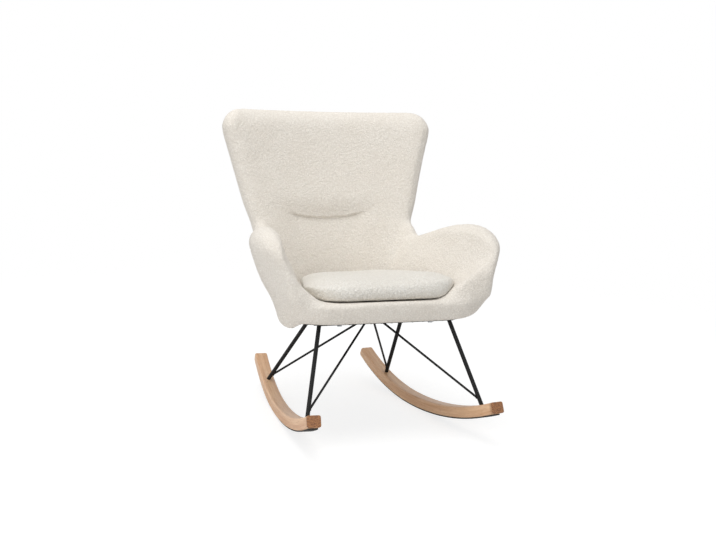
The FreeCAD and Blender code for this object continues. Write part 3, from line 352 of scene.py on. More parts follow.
def tapeFinish():
    look = {"thread": linear(222, 216, 205), "gap": linear(176, 168, 154), "pitch": 0.0009, "depth": 0.0004}
    material, tree, skin, place = startMaterial("zipTape", {"Roughness": 0.85})
    parts = splitVector(tree, place)
    warp, weft = (mathNode(tree, "PINGPONG", mathNode(tree, turn, parts["X"], parts["Z"]), look["pitch"])
                  for turn in ("ADD", "SUBTRACT"))
    weave = mathNode(tree, "DIVIDE", mathNode(tree, "MAXIMUM", warp, weft), look["pitch"])
    tree.links.new(mixColor(tree, weave, look["gap"], look["thread"]), skin["Base Color"])
    roughen(tree, skin, weave, 0.4, look["depth"])
    return material


finishes = {
    "boucle": boucleFinish("shellBoucle", shellLook),
    "cushion_boucle": boucleFinish("cushionBoucle", cushionLook),
    "rocker_wood": rockerFinish(),
    "grip_rubber": powderFinish("gripRubber", {
        "roughness": 0.75, "grain": 0.0012, "bump": 0.3,
        "color": linear(34, 33, 33), "worn": linear(52, 50, 48)}),
    "black_steel": powderFinish("blackPowderCoat", {
        "roughness": 0.55, "grain": 0.0011, "bump": 0.25, "gloss": 0.25,
        "color": linear(12, 12, 12), "worn": linear(20, 20, 20)}),
    "plug_plastic": powderFinish("plugPlastic", {
        "roughness": 0.55, "grain": 0.0008, "bump": 0.2,
        "color": linear(28, 28, 29), "worn": linear(38, 38, 38)}),
    "zinc_steel": powderFinish("zincSteel", {
        "roughness": 0.36, "grain": 0.0015, "bump": 0.15, "metallic": 1.0,
        "color": linear(186, 188, 190), "worn": linear(158, 160, 160)}),
    "foam": powderFinish("cutFoam", {
        "roughness": 0.95, "grain": 0.0018, "bump": 0.6,
        "color": linear(236, 226, 186), "worn": linear(226, 212, 164)}),
    "slider_metal": powderFinish("sliderMetal", {
        "roughness": 0.32, "grain": 0.0012, "bump": 0.15, "metallic": 1.0,
        "color": linear(198, 196, 190), "worn": linear(170, 168, 162)}),
    "plywood": plywoodFinish(),
    "dust_cloth": dustClothFinish(),
    "zip_tape": tapeFinish(),
}
print("finishes ready")


# mesh helpers
def mergedMesh(name, nodeNames):
    build = bmesh.new()  # the copies are loose triangles until merged
    for nodeName in nodeNames:
        part = bmesh.new()
        part.from_mesh(nodes[nodeName].data)
        bmesh.ops.remove_doubles(part, verts=part.verts, dist=1e-5)
        copy = bpy.data.meshes.new(nodeName + "Copy")
        part.to_mesh(copy)
        part.free()
        build.from_mesh(copy)
        bpy.data.meshes.remove(copy)
    mesh = bpy.data.meshes.new(name)
    build.to_mesh(mesh)
    build.free()
    piece = bpy.data.objects.new(name, mesh)
    scene.collection.objects.link(piece)
    return piece


def settle(piece):
    held = piece.evaluated_get(bpy.context.evaluated_depsgraph_get())
    mesh = bpy.data.meshes.new_from_object(held)
    old = piece.data
    piece.modifiers.clear()
    piece.data = mesh
    bpy.data.meshes.remove(old)


def revoxel(piece, size):
    remesh = piece.modifiers.new("revoxel", "REMESH")
    remesh.mode = "VOXEL"
    remesh.voxel_size = size
    settle(piece)


def readPoints(piece):
    points = np.empty(len(piece.data.vertices) * 3)
    piece.data.vertices.foreach_get("co", points)
    return points.reshape(-1, 3)


def writePoints(piece, points):
    piece.data.vertices.foreach_set("co", points.ravel())
    piece.data.update()


def readNormals(piece):
    normals = np.empty(len(piece.data.vertices) * 3)
    piece.data.vertex_normals.foreach_get("vector", normals)
    return normals.reshape(-1, 3)


def readEdges(piece):
    edges = np.empty(len(piece.data.edges) * 2, dtype=np.int64)
    piece.data.edges.foreach_get("vertices", edges)
    return edges.reshape(-1, 2)


def averageStep(points, edges):
    count = len(points)
    degree = np.bincount(edges.ravel(), minlength=count)
    total = np.empty_like(points)
    for axis in range(points.shape[1]):
        total[:, axis] = (np.bincount(edges[:, 0], points[edges[:, 1], axis], count)
                          + np.bincount(edges[:, 1], points[edges[:, 0], axis], count))
    return total / degree[:, None] - points


def relax(piece, rounds, fill, ease):
    edges = readEdges(piece)
    points = readPoints(piece)
    for _ in range(rounds):  # hollows fill up, crowns only ease a little
        writePoints(piece, points)
        normals = readNormals(piece)
        step = averageStep(points, edges)
        rise = np.sum(step * normals, axis=1)
        slide = step - rise[:, None] * normals
        points = points + slide * 0.5 + normals * np.where(rise > 0, rise * fill, rise * ease)[:, None]
    writePoints(piece, points)


def ramp(values, low, high):
    share = np.clip((values - low) / (high - low), 0.0, 1.0)
    return share * share * (3.0 - 2.0 * share)


def swell(piece, held, settings):  # cloth under pressure, sewn down where held
    group = piece.vertex_groups.new(name="held")
    for step in range(11):
        chosen = np.flatnonzero(np.round(held * 10) == step)
        if step and len(chosen):
            group.add(chosen.tolist(), step / 10, "REPLACE")
    before = readPoints(piece)
    normals = readNormals(piece)
    cloth = piece.modifiers.new("swell", "CLOTH")
    cloth.settings.quality = 4
    cloth.settings.mass = 0.3
    cloth.settings.tension_stiffness = settings["tension"]
    cloth.settings.compression_stiffness = settings["tension"]
    cloth.settings.shear_stiffness = settings["tension"] * 0.4
    cloth.settings.bending_stiffness = 0.5
    cloth.settings.use_pressure = True
    cloth.settings.uniform_pressure_force = settings["pressure"]
    cloth.settings.effector_weights.gravity = 0.0
    cloth.settings.vertex_group_mass = "held"
    cloth.collision_settings.use_collision = False
    cloth.collision_settings.use_self_collision = False
    cloth.point_cache.frame_start = 1
    cloth.point_cache.frame_end = settings["frames"]
    for frameNumber in range(1, settings["frames"] + 1):
        scene.frame_set(frameNumber)
    settle(piece)
    scene.frame_set(1)
    piece.vertex_groups.clear()
    outward = np.clip(np.sum((readPoints(piece) - before) * normals, axis=1), 0.0, settings["cap"])[:, None]
    edges = readEdges(piece)
    for _ in range(settings["evenRounds"]):
        outward = outward + 0.6 * averageStep(outward, edges)
    print(piece.name, "swelled by", round(float(outward.mean()) * 1000, 1), "mm on average")
    writePoints(piece, before + outward * normals)


def smoothShade(piece):
    piece.data.polygons.foreach_set("use_smooth", [True] * len(piece.data.polygons))
    piece.data.update()


def dress(piece, finish):
    smoothShade(piece)
    piece.data.materials.clear()
    piece.data.materials.append(finishes[finish])


# the seat leans back on its rockers, and its pads are shaped level
leanTurn = Matrix.Translation((0.0, -0.0602, -0.0008)) @ Matrix.Rotation(math.radians(-7.0), 4, "X")

# the padded shell: seat roll, arms and back under one skin
shell = {
    "from": ("base_pad", "arm_pad_left", "arm_pad_right", "back_pad_upper", "back_pad_lower", "rear_pad",
             "seat_board", "front_block", "arm_board_left", "arm_board_right", "back_board", "frame_brackets",
             "bracket_bolts", "t_nuts"),
    "shows": ("base_pad", "arm_pad_left", "arm_pad_right", "back_pad_upper", "back_pad_lower", "rear_pad"),
    "voxel": 0.006, "fillRounds": 60, "fill": 0.5, "ease": 0.05, "cornerRounds": 40, "lumbarRounds": 60,
    "hemRounds": 4, "hemFill": 0.3, "flankRounds": 40, "armRounds": 60,
    "pressure": 4.0, "tension": 15.0, "frames": 10, "cap": 0.005, "evenRounds": 40,
    "cradleCrown": 0.6, "cradleFlare": 0.35, "cradleBase": 0.40, "elbow": (0.27, 0.15, 0.60), "elbowRadius": 0.05,
    "hemLeft": 0.023, "hemRight": 0.010, "tuckIn": 0.011, "belly": 0.006, "armDraw": 0.006,
    "backWiden": 0.019, "crownShare": 0.7,
    "creaseHeight": 0.637, "creaseHalf": 0.136, "creaseShift": -0.015, "creaseRise": 0.018, "creaseEnd": 1.6,
    "creaseCurve": 2.3, "creasePin": 0.010, "tuck": 0.007, "lipRound": 0.008, "lipSpread": 0.03,
    "notch": 0.0005, "notchWidth": 0.004, "seamInset": 0.024, "seamDepth": 0.0022, "seamWidth": 0.007,
    "seamStart": 0.60, "seamEnd": 1.0, "seamStep": 0.01, "seamBand": 0.008, "nub": 0.0006, "nubSize": 0.010,
    "wedges": (  # sections from front to rear, drawn level
        ((-0.335, ((0.138, 0.388), (0.34, 0.388), (0.335, 0.525), (0.262, 0.475))),
         (-0.20, ((0.18, 0.388), (0.28, 0.388), (0.28, 0.465), (0.245, 0.432))),
         (0.0, ((0.17, 0.388), (0.22, 0.388), (0.22, 0.43), (0.20, 0.41)))),
        ((-0.335, ((-0.21, 0.388), (-0.34, 0.388), (-0.335, 0.52), (-0.29, 0.452))),
         (-0.20, ((-0.205, 0.388), (-0.28, 0.388), (-0.28, 0.455), (-0.25, 0.425))),
         (0.0, ((-0.17, 0.388), (-0.22, 0.388), (-0.22, 0.43), (-0.20, 0.41)))),
    ),
    "gussets": (((0.266, 0.165, 0.578), (0.024, 0.045, 0.045)), ((-0.266, 0.165, 0.578), (0.024, 0.045, 0.045))),
}
zones = {  # where each change of form fades, drawn level, or how far a face has to turn for it
    "lumbarFoot": (0.58, 0.62), "lumbarTop": (0.70, 0.76), "lumbarSide": (0.20, 0.26), "lumbarDepth": (0.08, 0.12),
    "cradleSide": (0.10, 0.16), "cradleFoot": (0.38, 0.40), "cradleTop": (0.46, 0.60), "cradleRear": (-0.25, -0.12),
    "cradleEdge": (0.29, 0.32), "cornerSide": (0.22, 0.30), "cornerTop": (0.42, 0.50), "cornerRear": (-0.26, -0.12),
    "outsideSide": (0.26, 0.33), "outsideRear": (-0.24, -0.10), "bellyFoot": (0.35, 0.46), "bellyTop": (0.51, 0.58),
    "middleFront": (-0.29, -0.23), "middleRear": (0.06, 0.16), "middleSide": (0.14, 0.25),
    "hemTop": (0.35, 0.40), "hemFlat": (0.93, 0.99), "tuckTop": (0.35, 0.47), "armDraw": (0.54, 0.60),
    "backFoot": (0.62, 0.70), "backCrown": (0.90, 0.98), "flankSide": (0.28, 0.32), "flankFoot": (0.34, 0.37),
    "flankTop": (0.50, 0.56), "armSide": (0.22, 0.27), "armFoot": (0.50, 0.54), "armTop": (0.62, 0.68),
    "armRear": (-0.05, 0.05), "facing": (0.2, 0.6), "panelFacing": (0.3, 0.7), "deckFacing": (0.3, 0.6),
    "backDepth": (0.05, 0.1), "lipEnds": (0.8, 1.2), "tuckFade": (0.0, 0.15), "tuckEnds": (0.75, 1.15),
    "seamFoot": (0.66, 0.72), "seamTop": (0.90, 0.94), "underTop": (0.338, 0.35), "deckTop": (0.41, 0.44),
    "deckFront": (-0.335, -0.30), "pinSide": (0.12, 0.2), "outerSide": (0.25, 0.30), "outerTop": (0.60, 0.66),
    "zipDepth": (0.128, 0.142), "zipSide": (0.09, 0.14), "heldTop": (0.399, 0.412), "widenFoot": (0.42, 0.45),
    "reachFront": (0.15, 0.32), "liftSide": (0.02, 0.20), "liftFoot": (0.42, 0.455),
}


def rising(values, zone):
    return ramp(values, *zones[zone])


def falling(values, zone):
    return 1.0 - ramp(values, *zones[zone])


def creaseSide(x):
    return np.abs(x - shell["creaseShift"]) / shell["creaseHalf"]


def creaseLine(x):  # the lumbar tuck turns up at both ends
    rise = np.minimum(creaseSide(x), shell["creaseEnd"]) ** shell["creaseCurve"]
    return shell["creaseHeight"] + shell["creaseRise"] * rise


def addWadding(piece):  # soft filling where the arms run into the seat and the back
    build = bmesh.new()
    build.from_mesh(piece.data)
    for wedge in shell["wedges"]:
        rings = [[build.verts.new((x, y, z)) for x, z in section] for y, section in wedge]
        for first, second in zip(rings, rings[1:]):
            for index in range(len(first)):
                after = (index + 1) % len(first)
                build.faces.new((first[index], first[after], second[after], second[index]))
        ends = [build.faces.new(rings[0]), build.faces.new(rings[-1])]
        skin = {face for ring in rings for vert in ring for face in vert.link_faces}
        bmesh.ops.recalc_face_normals(build, faces=list(skin | set(ends)))
    for center, radii in shell["gussets"]:
        place = Matrix.Translation(center) @ Matrix.Diagonal((*radii, 1.0))
        bmesh.ops.create_icosphere(build, subdivisions=3, radius=1.0, matrix=place)
    build.to_mesh(piece.data)
    build.free()


def softenShell(piece):  # eased where the pads meet
    fill = shell["fill"]
    relax(piece, shell["fillRounds"], fill, shell["ease"])
    x, y, z = readPoints(piece).T
    wide = np.abs(x)
    lumbar = rising(z, "lumbarFoot") * falling(z, "lumbarTop") * falling(wide, "lumbarSide") * rising(y, "lumbarDepth")
    cradle = rising(wide, "cradleSide") * rising(z, "cradleFoot") * falling(z, "cradleTop") * falling(y, "cradleRear")
    cradle *= falling(wide - shell["cradleFlare"] * (z - shell["cradleBase"]), "cradleEdge")
    away = sum((value - place) ** 2 for value, place in zip((wide, y, z), shell["elbow"]))
    elbow = np.exp(-away / shell["elbowRadius"] ** 2)
    corner = rising(wide, "cornerSide") * falling(z, "cornerTop") * falling(y, "cornerRear")
    soft = np.max((lumbar, cradle, elbow), axis=0)
    crown = np.max((lumbar, shell["cradleCrown"] * cradle, elbow, corner), axis=0)
    relax(piece, shell["cornerRounds"], fill * soft, fill * crown)
    relax(piece, shell["lumbarRounds"], fill * lumbar, fill * lumbar)


def shapeShell(piece):
    softenShell(piece)
    points = readPoints(piece)
    normals = readNormals(piece)
    x, y, z = points.T
    wide = np.abs(x)
    outside = np.sign(x) * rising(wide, "outsideSide") * falling(y, "outsideRear")
    belly = rising(z, "bellyFoot") * falling(z, "bellyTop")
    middle = rising(y, "middleFront") * falling(y, "middleRear") * rising(wide, "middleSide")
    hem = middle * falling(z, "hemTop") * falling(-normals[:, 2], "hemFlat")
    points[:, 2] -= np.where(x < 0, shell["hemLeft"], shell["hemRight"]) * hem
    points[:, 0] -= np.sign(x) * shell["tuckIn"] * middle * falling(z, "tuckTop")
    points[:, 0] += outside * (shell["belly"] * belly - shell["armDraw"] * rising(z, "armDraw"))
    crown = 1.0 - shell["crownShare"] * rising(z, "backCrown")
    points[:, 0] *= 1.0 + shell["backWiden"] * rising(z, "backFoot") * crown
    writePoints(piece, points)
    flank = rising(np.abs(x), "flankSide") * rising(z, "flankFoot") * falling(z, "flankTop") * falling(y, "armRear")
    fill = shell["fill"]
    relax(piece, shell["hemRounds"], shell["hemFill"], shell["hemFill"] * hem)
    relax(piece, shell["flankRounds"], fill * flank, fill * flank)
    x, y, z = readPoints(piece).T
    armTop = rising(np.abs(x), "armSide") * rising(z, "armFoot") * falling(z, "armTop") * falling(y, "armRear")
    relax(piece, shell["armRounds"], fill * armTop, shell["ease"] * armTop)


def sewCrease(piece):  # the upper pad ends in a rolled lip and the lower one starts behind it
    points = readPoints(piece)
    normals = readNormals(piece)
    x, y, z = points.T
    front = rising(-normals[:, 1], "facing") * rising(y, "backDepth")
    side = creaseSide(x)
    above = z - creaseLine(x)
    lip = shell["lipRound"] + shell["lipSpread"] * rising(side, "lipEnds")
    roll = np.sqrt(1.0 - (1.0 - np.clip(above / lip, 0.0, 1.0)) ** 2)
    behind = np.where(above > 0, 1.0 - roll, falling(-above, "tuckFade"))
    notch = shell["notch"] * np.exp(-(above / shell["notchWidth"]) ** 2)
    points[:, 1] += (shell["tuck"] * behind + notch) * falling(side, "tuckEnds") * front
    writePoints(piece, points)


def sewBackSeam(piece):  # the front and rear panels of the back meet a border strip
    points = readPoints(piece)
    normals = readNormals(piece)
    x, y, z = points.T
    heights = np.arange(shell["seamStart"], shell["seamEnd"], shell["seamStep"])
    reach = np.array([np.abs(x[np.abs(z - height) < shell["seamBand"]]).max(initial=0.0) for height in heights])
    inward = np.interp(z, heights, reach) - np.abs(x)
    groove = shell["seamDepth"] * np.exp(-((inward - shell["seamInset"]) / shell["seamWidth"]) ** 2)
    groove *= rising(z, "seamFoot") * falling(z, "seamTop") * rising(np.abs(normals[:, 1]), "panelFacing")
    writePoints(piece, points - normals * groove[:, None])


def nubble(piece, height, size):  # the curls of the pile
    points = readPoints(piece)
    bumps = np.array([noise.noise(Vector(point) / size) for point in points])
    writePoints(piece, points + readNormals(piece) * (height * bumps)[:, None])


def refine(piece, near):  # smaller faces where a seam needs them
    build = bmesh.new()
    build.from_mesh(piece.data)
    chosen = [edge for edge in build.edges if all(near(vert.co) for vert in edge.verts)]
    bmesh.ops.subdivide_edges(build, edges=chosen, cuts=2, use_grid_fill=True, smooth=0.0)
    build.to_mesh(piece.data)
    build.free()


def nearCrease(place):
    return abs(place.x) < 0.24 and 0.625 < place.z < 0.69 and 0.08 < place.y < 0.235


def shellPins(piece):  # where the cover is stapled, glued or sewn down
    x, y, z = readPoints(piece).T
    normals = readNormals(piece)
    wide = np.abs(x)
    under = falling(z, "underTop") * rising(-normals[:, 2], "panelFacing")
    deck = falling(z, "deckTop") * rising(normals[:, 2], "deckFacing") * rising(y, "deckFront")
    seam = np.exp(-((z - creaseLine(x)) / shell["creasePin"]) ** 2)
    seam *= falling(wide, "pinSide") * rising(-normals[:, 1], "facing")
    outer = np.maximum(rising(normals[:, 0] * np.sign(x), "facing"), rising(wide, "outerSide")) * falling(z, "outerTop")
    return np.max((under, deck, seam, outer), axis=0)


def buildShell():
    piece = mergedMesh("paddedShell", shell["from"])
    piece.data.transform(leanTurn.inverted())
    addWadding(piece)
    revoxel(piece, shell["voxel"])
    shapeShell(piece)
    swell(piece, shellPins(piece), shell)
    refine(piece, nearCrease)
    sewCrease(piece)
    sewBackSeam(piece)
    nubble(piece, shell["nub"], shell["nubSize"])
    piece.data.transform(leanTurn)
    dress(piece, "boucle")
    return piece


paddedShell = buildShell()
print("padded shell:", len(paddedShell.data.polygons), "faces")

# the loose seat cushion
seat = {
    "from": ("cushion_cover", "cushion_foam"), "voxel": 0.005, "shrink": 0.004, "startRounds": 6, "startFill": 0.5,
    "startEase": 0.3, "endRounds": 4, "endFill": 0.4, "widen": 0.045, "frontReach": 0.010, "rightLift": 0.012,
    "clear": 0.0015, "search": 0.12, "deepest": 0.1,
    "pressure": 4.0, "tension": 15.0, "frames": 20, "cap": 0.010, "evenRounds": 25,
}


def nestle(piece, around):  # a soft piece gives way to what it lies in
    tree = BVHTree.FromPolygons([tuple(vert.co) for vert in around.data.vertices],
                                [tuple(face.vertices) for face in around.data.polygons])
    points = readPoints(piece)
    pushed = 0
    for index, point in enumerate(points):
        place, normal, _, distance = tree.find_nearest(Vector(point), seat["search"])
        if place is None:
            continue
        gap = (Vector(point) - place).dot(normal)
        if gap < seat["clear"] and (gap > 0 or distance < seat["deepest"]):
            points[index] = place + normal * seat["clear"]
            pushed += 1
    writePoints(piece, points)
    print(piece.name, "gives way at", pushed, "points")


def buildCushion():
    piece = mergedMesh("seatCushion", seat["from"])
    piece.data.transform(leanTurn.inverted())
    revoxel(piece, seat["voxel"])
    relax(piece, seat["startRounds"], seat["startFill"], seat["startEase"])
    points = readPoints(piece)
    normals = readNormals(piece)
    x, y, z = points.T
    zipSide = rising(y, "zipDepth") * falling(np.abs(x), "zipSide")
    held = np.maximum(falling(z, "heldTop"), zipSide)
    writePoints(piece, points - normals * (seat["shrink"] * (1.0 - zipSide))[:, None])
    swell(piece, held, seat)
    points = readPoints(piece)
    points[:, 0] *= 1.0 + seat["widen"] * rising(z, "widenFoot")
    points[:, 1] -= seat["frontReach"] * rising(-y, "reachFront")
    points[:, 2] += seat["rightLift"] * rising(x, "liftSide") * rising(z, "liftFoot")
    writePoints(piece, points)
    piece.data.transform(leanTurn)
    nestle(piece, paddedShell)
    relax(piece, seat["endRounds"], seat["endFill"], seat["endFill"])
    nestle(piece, paddedShell)
    nubble(piece, shell["nub"], shell["nubSize"])
    dress(piece, "cushion_boucle")
    return piece


seatCushion = buildCushion()
print("seat cushion:", len(seatCushion.data.polygons), "faces")

# CAD pieces keep their shape and take a finish
slotOf = {
    "rocker_left": "rocker_wood", "rocker_right": "rocker_wood", "grip_strip_left": "grip_rubber",
    "grip_strip_right": "grip_rubber", "leg_plugs": "plug_plastic", "leg_bolts": "zinc_steel",
    "frame_bolts": "zinc_steel", "t_nuts": "zinc_steel", "frame_brackets": "zinc_steel", "bracket_bolts": "zinc_steel",
    "seat_board": "plywood", "front_block": "plywood", "arm_board_left": "plywood", "arm_board_right": "plywood",
    "back_board": "plywood", "dust_cover": "dust_cloth", "cushion_zip": "zip_tape", "zip_slider": "slider_metal",
}
for name, node in nodes.items():
    if name in shell["shows"] or name in seat["from"]:
        finish = finishes["boucle"] if name in shell["shows"] else finishes["foam"]
    else:
        finish = finishes[slotOf.get(name, "black_steel")]
    node.data.materials.clear()
    node.data.materials.append(finish)

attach(paddedShell, "chair")
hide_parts(*shell["shows"])
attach(seatCushion, "cushion")
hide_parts(*seat["from"])


# small repeated pieces, grown on points and paths
def growTree(name, inputs):
    tree = bpy.data.node_groups.new(name, "GeometryNodeTree")
    tree.interface.new_socket("Geometry", in_out="INPUT", socket_type="NodeSocketGeometry")
    for label, kind, value in inputs:
        socket = tree.interface.new_socket(label, in_out="INPUT", socket_type="NodeSocket" + kind)
        socket.default_value = value
    tree.interface.new_socket("Geometry", in_out="OUTPUT", socket_type="NodeSocketGeometry")
    return tree, tree.nodes.new("NodeGroupInput").outputs, tree.nodes.new("NodeGroupOutput").inputs


def endTree(tree, instances, finish, out):
    real = addNode(tree, "GeometryNodeRealizeInstances", {0: instances})[0]
    smooth = addNode(tree, "GeometryNodeSetShadeSmooth", {0: real})[0]
    coat = addNode(tree, "GeometryNodeSetMaterial", {"Geometry": smooth, "Material": finishes[finish]})[0]
    tree.links.new(coat, out["Geometry"])


def turnedTo(tree, vector, axis):
    return addNode(tree, "FunctionNodeAlignRotationToVector", {"Vector": vector}, axis=axis)["Rotation"]


def spacedLine(tree, mesh, spacing):
    line = addNode(tree, "GeometryNodeMeshToCurve", {0: mesh})[0]
    return addNode(tree, "GeometryNodeResampleCurve", {"Curve": line, "Length": spacing}, mode="LENGTH")[0]


def putOn(tree, points, instance, **turns):
    return addNode(tree, "GeometryNodeInstanceOnPoints", {"Points": points, "Instance": instance, **turns})[0]


def pathMesh(name, points, edges=()):
    mesh = bpy.data.meshes.new(name)
    mesh.from_pydata([tuple(point) for point in points], edges, [])
    return mesh


def grow(name, mesh, tree, values, body):
    piece = bpy.data.objects.new(name, mesh)
    scene.collection.objects.link(piece)
    modifier = piece.modifiers.new("grow", "NODES")
    modifier.node_group = tree
    for socket in tree.interface.items_tree:
        if socket.in_out == "INPUT" and socket.name in values:
            modifier[socket.identifier] = values[socket.name]
    settle(piece)
    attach(piece, body)
    print(name + ":", len(piece.data.polygons), "faces")


# staples that hold the dust cover under the seat
staples = {"inset": 0.008, "spacing": 0.034, "width": 0.010, "wire": 0.00045, "rise": 0.0016, "sag": -1.4,
           "below": 0.0003, "bends": 8, "sides": 6}


def stapleTree():
    tree, given, out = growTree("stapleRow", [
        ("Spacing", "Float", 0.03), ("Crown Width", "Float", 0.01), ("Wire Radius", "Float", 0.0005),
        ("Rise", "Float", 0.001)])
    rise = given["Rise"]
    drop = mathNode(tree, "MULTIPLY", rise, staples["sag"])
    right = mathNode(tree, "MULTIPLY", given["Crown Width"], 0.5)
    left = mathNode(tree, "MULTIPLY", given["Crown Width"], -0.5)
    bends = (("Start", left, rise), ("Start Handle", left, drop), ("End Handle", right, drop), ("End", right, rise))
    crown = addNode(tree, "GeometryNodeCurvePrimitiveBezierSegment", {
        "Resolution": staples["bends"], **{label: joinVector(tree, x=across, z=lift) for label, across, lift in bends}})
    wire = addNode(tree, "GeometryNodeCurvePrimitiveCircle", {
        "Resolution": staples["sides"], "Radius": given["Wire Radius"]})
    bent = addNode(tree, "GeometryNodeCurveToMesh", {
        "Curve": crown[0], "Profile Curve": wire["Curve"], "Fill Caps": True})
    tangent = addNode(tree, "GeometryNodeInputTangent")[0]
    row = spacedLine(tree, given["Geometry"], given["Spacing"])
    endTree(tree, putOn(tree, row, bent[0], Rotation=turnedTo(tree, tangent, "X")), "zinc_steel", out)
    return tree


def hullOutline(points):  # the cover's outline is rounded and bulges all round
    ordered = sorted(map(tuple, np.round(points, 5)))

    def half(run):
        chain = []
        for point in run:
            while len(chain) > 1 and ((chain[-1][0] - chain[-2][0]) * (point[1] - chain[-2][1])
                                      - (chain[-1][1] - chain[-2][1]) * (point[0] - chain[-2][0])) <= 0:
                chain.pop()
            chain.append(point)
        return chain[:-1]
    return np.array(half(ordered) + half(ordered[::-1]))


def buildStaples():
    cover = np.array([leanTurn.inverted() @ vert.co for vert in nodes["dust_cover"].data.vertices])
    outline = hullOutline(cover[:, :2])
    inward = outline.mean(axis=0) - outline
    inward /= np.linalg.norm(inward, axis=1)[:, None]
    row = outline + inward * staples["inset"]
    count = len(row)
    points = np.column_stack((row, np.full(count, cover[:, 2].min() - staples["below"])))
    mesh = pathMesh("dustStaples", points, [(index, (index + 1) % count) for index in range(count)])
    mesh.transform(leanTurn)
    grow("dustStaples", mesh, stapleTree(), {
        "Spacing": staples["spacing"], "Crown Width": staples["width"], "Wire Radius": staples["wire"],
        "Rise": staples["rise"],
    }, "chair")


buildStaples()

# weld beads where each brace meets its leg
welds = {"ring": 0.0042, "bead": 0.0016, "count": 14, "back": 0.003, "seed": 4, "least": 0.8, "most": 1.2}


def weldTree():
    tree, given, out = growTree("weldRing", [
        ("Ring Radius", "Float", 0.004), ("Bead Size", "Float", 0.0015), ("Beads", "Int", 12), ("Seed", "Int", 1)])
    ring = addNode(tree, "GeometryNodeCurvePrimitiveCircle", {
        "Resolution": given["Beads"], "Radius": given["Ring Radius"]})
    bead = addNode(tree, "GeometryNodeMeshIcoSphere", {"Subdivisions": 2, "Radius": given["Bead Size"]})
    uneven = addNode(tree, "FunctionNodeRandomValue", {2: welds["least"], 3: welds["most"], "Seed": given["Seed"]})
    beads = putOn(tree, ring["Curve"], bead["Mesh"], Scale=uneven[1])
    axis = addNode(tree, "GeometryNodeInputNamedAttribute", {"Name": "axis"}, data_type="FLOAT_VECTOR")[0]
    endTree(tree, putOn(tree, given["Geometry"], beads, Rotation=turnedTo(tree, axis, "Z")), "black_steel", out)
    return tree


def buildWelds():
    spots, axes = [], []
    for name in ("brace_front_left", "brace_front_right", "brace_rear_left", "brace_rear_right"):
        points = np.array([vert.co for vert in nodes[name].data.vertices])
        middle = points.mean(axis=0)
        axis = np.linalg.svd(points - middle, full_matrices=False)[2][0]
        axis = axis if axis[2] > 0 else -axis
        low = ((points - middle) @ axis).min()
        spots.append(middle + axis * (low + welds["back"]))
        axes.append(axis)
    mesh = pathMesh("weldBeads", spots)
    held = mesh.attributes.new("axis", "FLOAT_VECTOR", "POINT")
    held.data.foreach_set("vector", np.asarray(axes, dtype=np.float32).ravel())
    grow("weldBeads", mesh, weldTree(), {
        "Ring Radius": welds["ring"], "Bead Size": welds["bead"], "Beads": welds["count"], "Seed": welds["seed"],
    }, "chair")


buildWelds()

# teeth along the cushion's zip
teeth = {"pitch": 0.0026, "length": 0.0016, "thick": 0.00055, "rows": 0.0009, "proud": 0.00012, "radius": 0.36,
         "sides": 8, "lean": math.radians(-97.0), "start": 0.003, "stop": 0.006}


def toothTree():
    tree, given, out = growTree("zipTeeth", [
        ("Pitch", "Float", 0.0026), ("Tooth Length", "Float", 0.0016), ("Thickness", "Float", 0.0005)])
    tooth = addNode(tree, "GeometryNodeMeshCylinder", {
        "Vertices": teeth["sides"], "Radius": mathNode(tree, "MULTIPLY", given["Pitch"], teeth["radius"]),
        "Depth": given["Thickness"]})
    size = joinVector(tree, 1.0, mathNode(tree, "DIVIDE", given["Tooth Length"], given["Pitch"]), 1.0)
    facing = addNode(tree, "FunctionNodeEulerToRotation", {0: (teeth["lean"], 0.0, 0.0)})[0]
    row = spacedLine(tree, given["Geometry"], given["Pitch"])
    endTree(tree, putOn(tree, row, tooth["Mesh"], Rotation=facing, Scale=size), "slider_metal", out)
    return tree


def buildTeeth():
    tape = np.array([leanTurn.inverted() @ vert.co for vert in nodes["cushion_zip"].data.vertices])
    low, high = tape.min(axis=0), tape.max(axis=0)
    height = (low[2] + high[2]) / 2
    face = high[1] + teeth["proud"] - teeth["thick"] / 2
    points = [(x + shift * teeth["pitch"], face, height + row * teeth["rows"])
              for row, shift in ((-1, 0.0), (1, 0.5)) for x in (low[0] + teeth["start"], high[0] - teeth["stop"])]
    mesh = pathMesh("zipTeeth", points, [(0, 1), (2, 3)])
    mesh.transform(leanTurn)
    grow("zipTeeth", mesh, toothTree(), {
        "Pitch": teeth["pitch"], "Tooth Length": teeth["length"], "Thickness": teeth["thick"],
    }, "cushion")


buildTeeth()

# studio
studio = {
    "place": (-1.4149, -3.5662, 1.1747), "yaw": -21.52, "pitch": -3.931, "tilt": -7.0, "lens": 60.335, "sensor": 36.0,
    "sky": 0.54, "floorGlow": 0.76, "floorBounce": 0.92, "floorTone": 0.35, "floorRadius": 3.0, "floorDrop": -0.0005,
    "floorFade": (1.1, 2.6), "target": (0.0, 0.0, 0.5),
    "lamps": {
        "topLamp": {"place": (-0.55, -0.35, 3.6), "size": 2.8, "power": 66.0},
        "frontLamp": {"place": (-2.7, -2.5, 1.5), "size": 1.8, "power": 30.0},
    },
}


def buildCamera():
    camera = bpy.data.objects.new("camera", bpy.data.cameras.new("camera"))
    camera.data.lens = studio["lens"]
    camera.data.sensor_width = studio["sensor"]
    camera.location = studio["place"]
    aim = Euler((math.radians(90 + studio["pitch"]), 0.0, math.radians(studio["yaw"]))).to_matrix()
    camera.rotation_euler = (Matrix.Rotation(math.radians(studio["tilt"]), 3, "X") @ aim).to_euler()
    scene.collection.objects.link(camera)
    scene.camera = camera


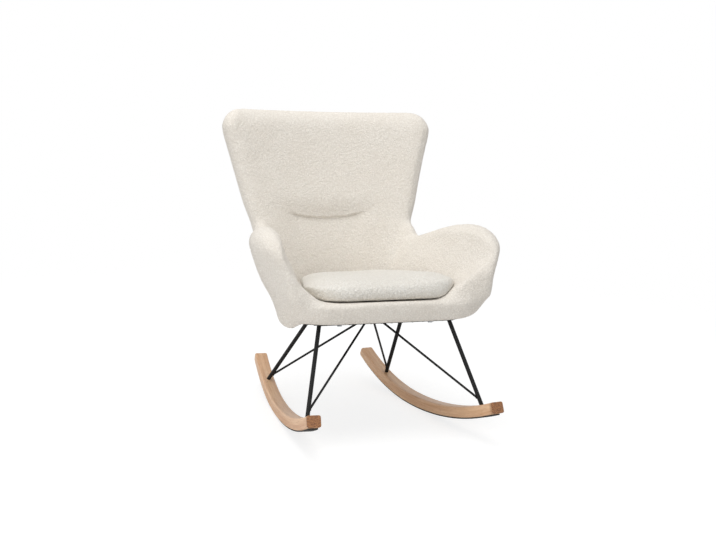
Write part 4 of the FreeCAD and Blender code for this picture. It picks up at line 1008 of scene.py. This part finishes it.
def buildRoom():
    world = bpy.data.worlds.new("paleRoom")
    world.use_nodes = True
    tree = world.node_tree
    sky = tree.nodes["Background"].inputs
    sky["Color"].default_value = white
    path = addNode(tree, "ShaderNodeLightPath")
    seen = mathNode(tree, "MAXIMUM", path["Is Camera Ray"], path["Is Glossy Ray"])
    seen = mathNode(tree, "MAXIMUM", seen, path["Is Transmission Ray"])
    tree.links.new(between(tree, seen, 0.0, 1.0, studio["sky"], 1.0), sky["Strength"])
    scene.world = world


def buildFloor():
    mesh = bpy.data.meshes.new("floor")
    disc = bmesh.new()
    bmesh.ops.create_circle(disc, cap_ends=True, segments=96, radius=studio["floorRadius"])
    disc.to_mesh(mesh)
    disc.free()
    mesh.transform(Matrix.Translation((0.0, 0.0, studio["floorDrop"])))
    floor = bpy.data.objects.new("floor", mesh)
    scene.collection.objects.link(floor)
    material, tree, skin, place = startMaterial("paleFloor", {
        "Roughness": 0.9, "Specular IOR Level": 0.0, "Emission Color": white})
    seen = addNode(tree, "ShaderNodeLightPath")["Is Camera Ray"]
    tree.links.new(between(tree, seen, 0.0, 1.0, studio["floorBounce"], studio["floorTone"]), skin["Base Color"])
    tree.links.new(mathNode(tree, "MULTIPLY", seen, studio["floorGlow"]), skin["Emission Strength"])
    fade = between(tree, lengthOf(tree, place), *studio["floorFade"], 1.0, 0.0)
    below = addNode(tree, "ShaderNodeNewGeometry")["Backfacing"]
    shown = mathNode(tree, "SUBTRACT", 1.0, below)  # the floor hides nothing from below
    tree.links.new(mathNode(tree, "MULTIPLY", fade, shown), skin["Alpha"])
    mesh.materials.append(material)


def softLamp(name, settings):
    lamp = bpy.data.objects.new(name, bpy.data.lights.new(name, "AREA"))
    lamp.data.shape = "DISK"
    lamp.data.size = settings["size"]
    lamp.data.energy = settings["power"]
    lamp.location = settings["place"]
    aim = Vector(studio["target"]) - Vector(settings["place"])
    lamp.rotation_euler = aim.to_track_quat("-Z", "Y").to_euler()
    scene.collection.objects.link(lamp)


buildCamera()
buildRoom()
buildFloor()
for name, settings in studio["lamps"].items():
    softLamp(name, settings)
print("studio ready")
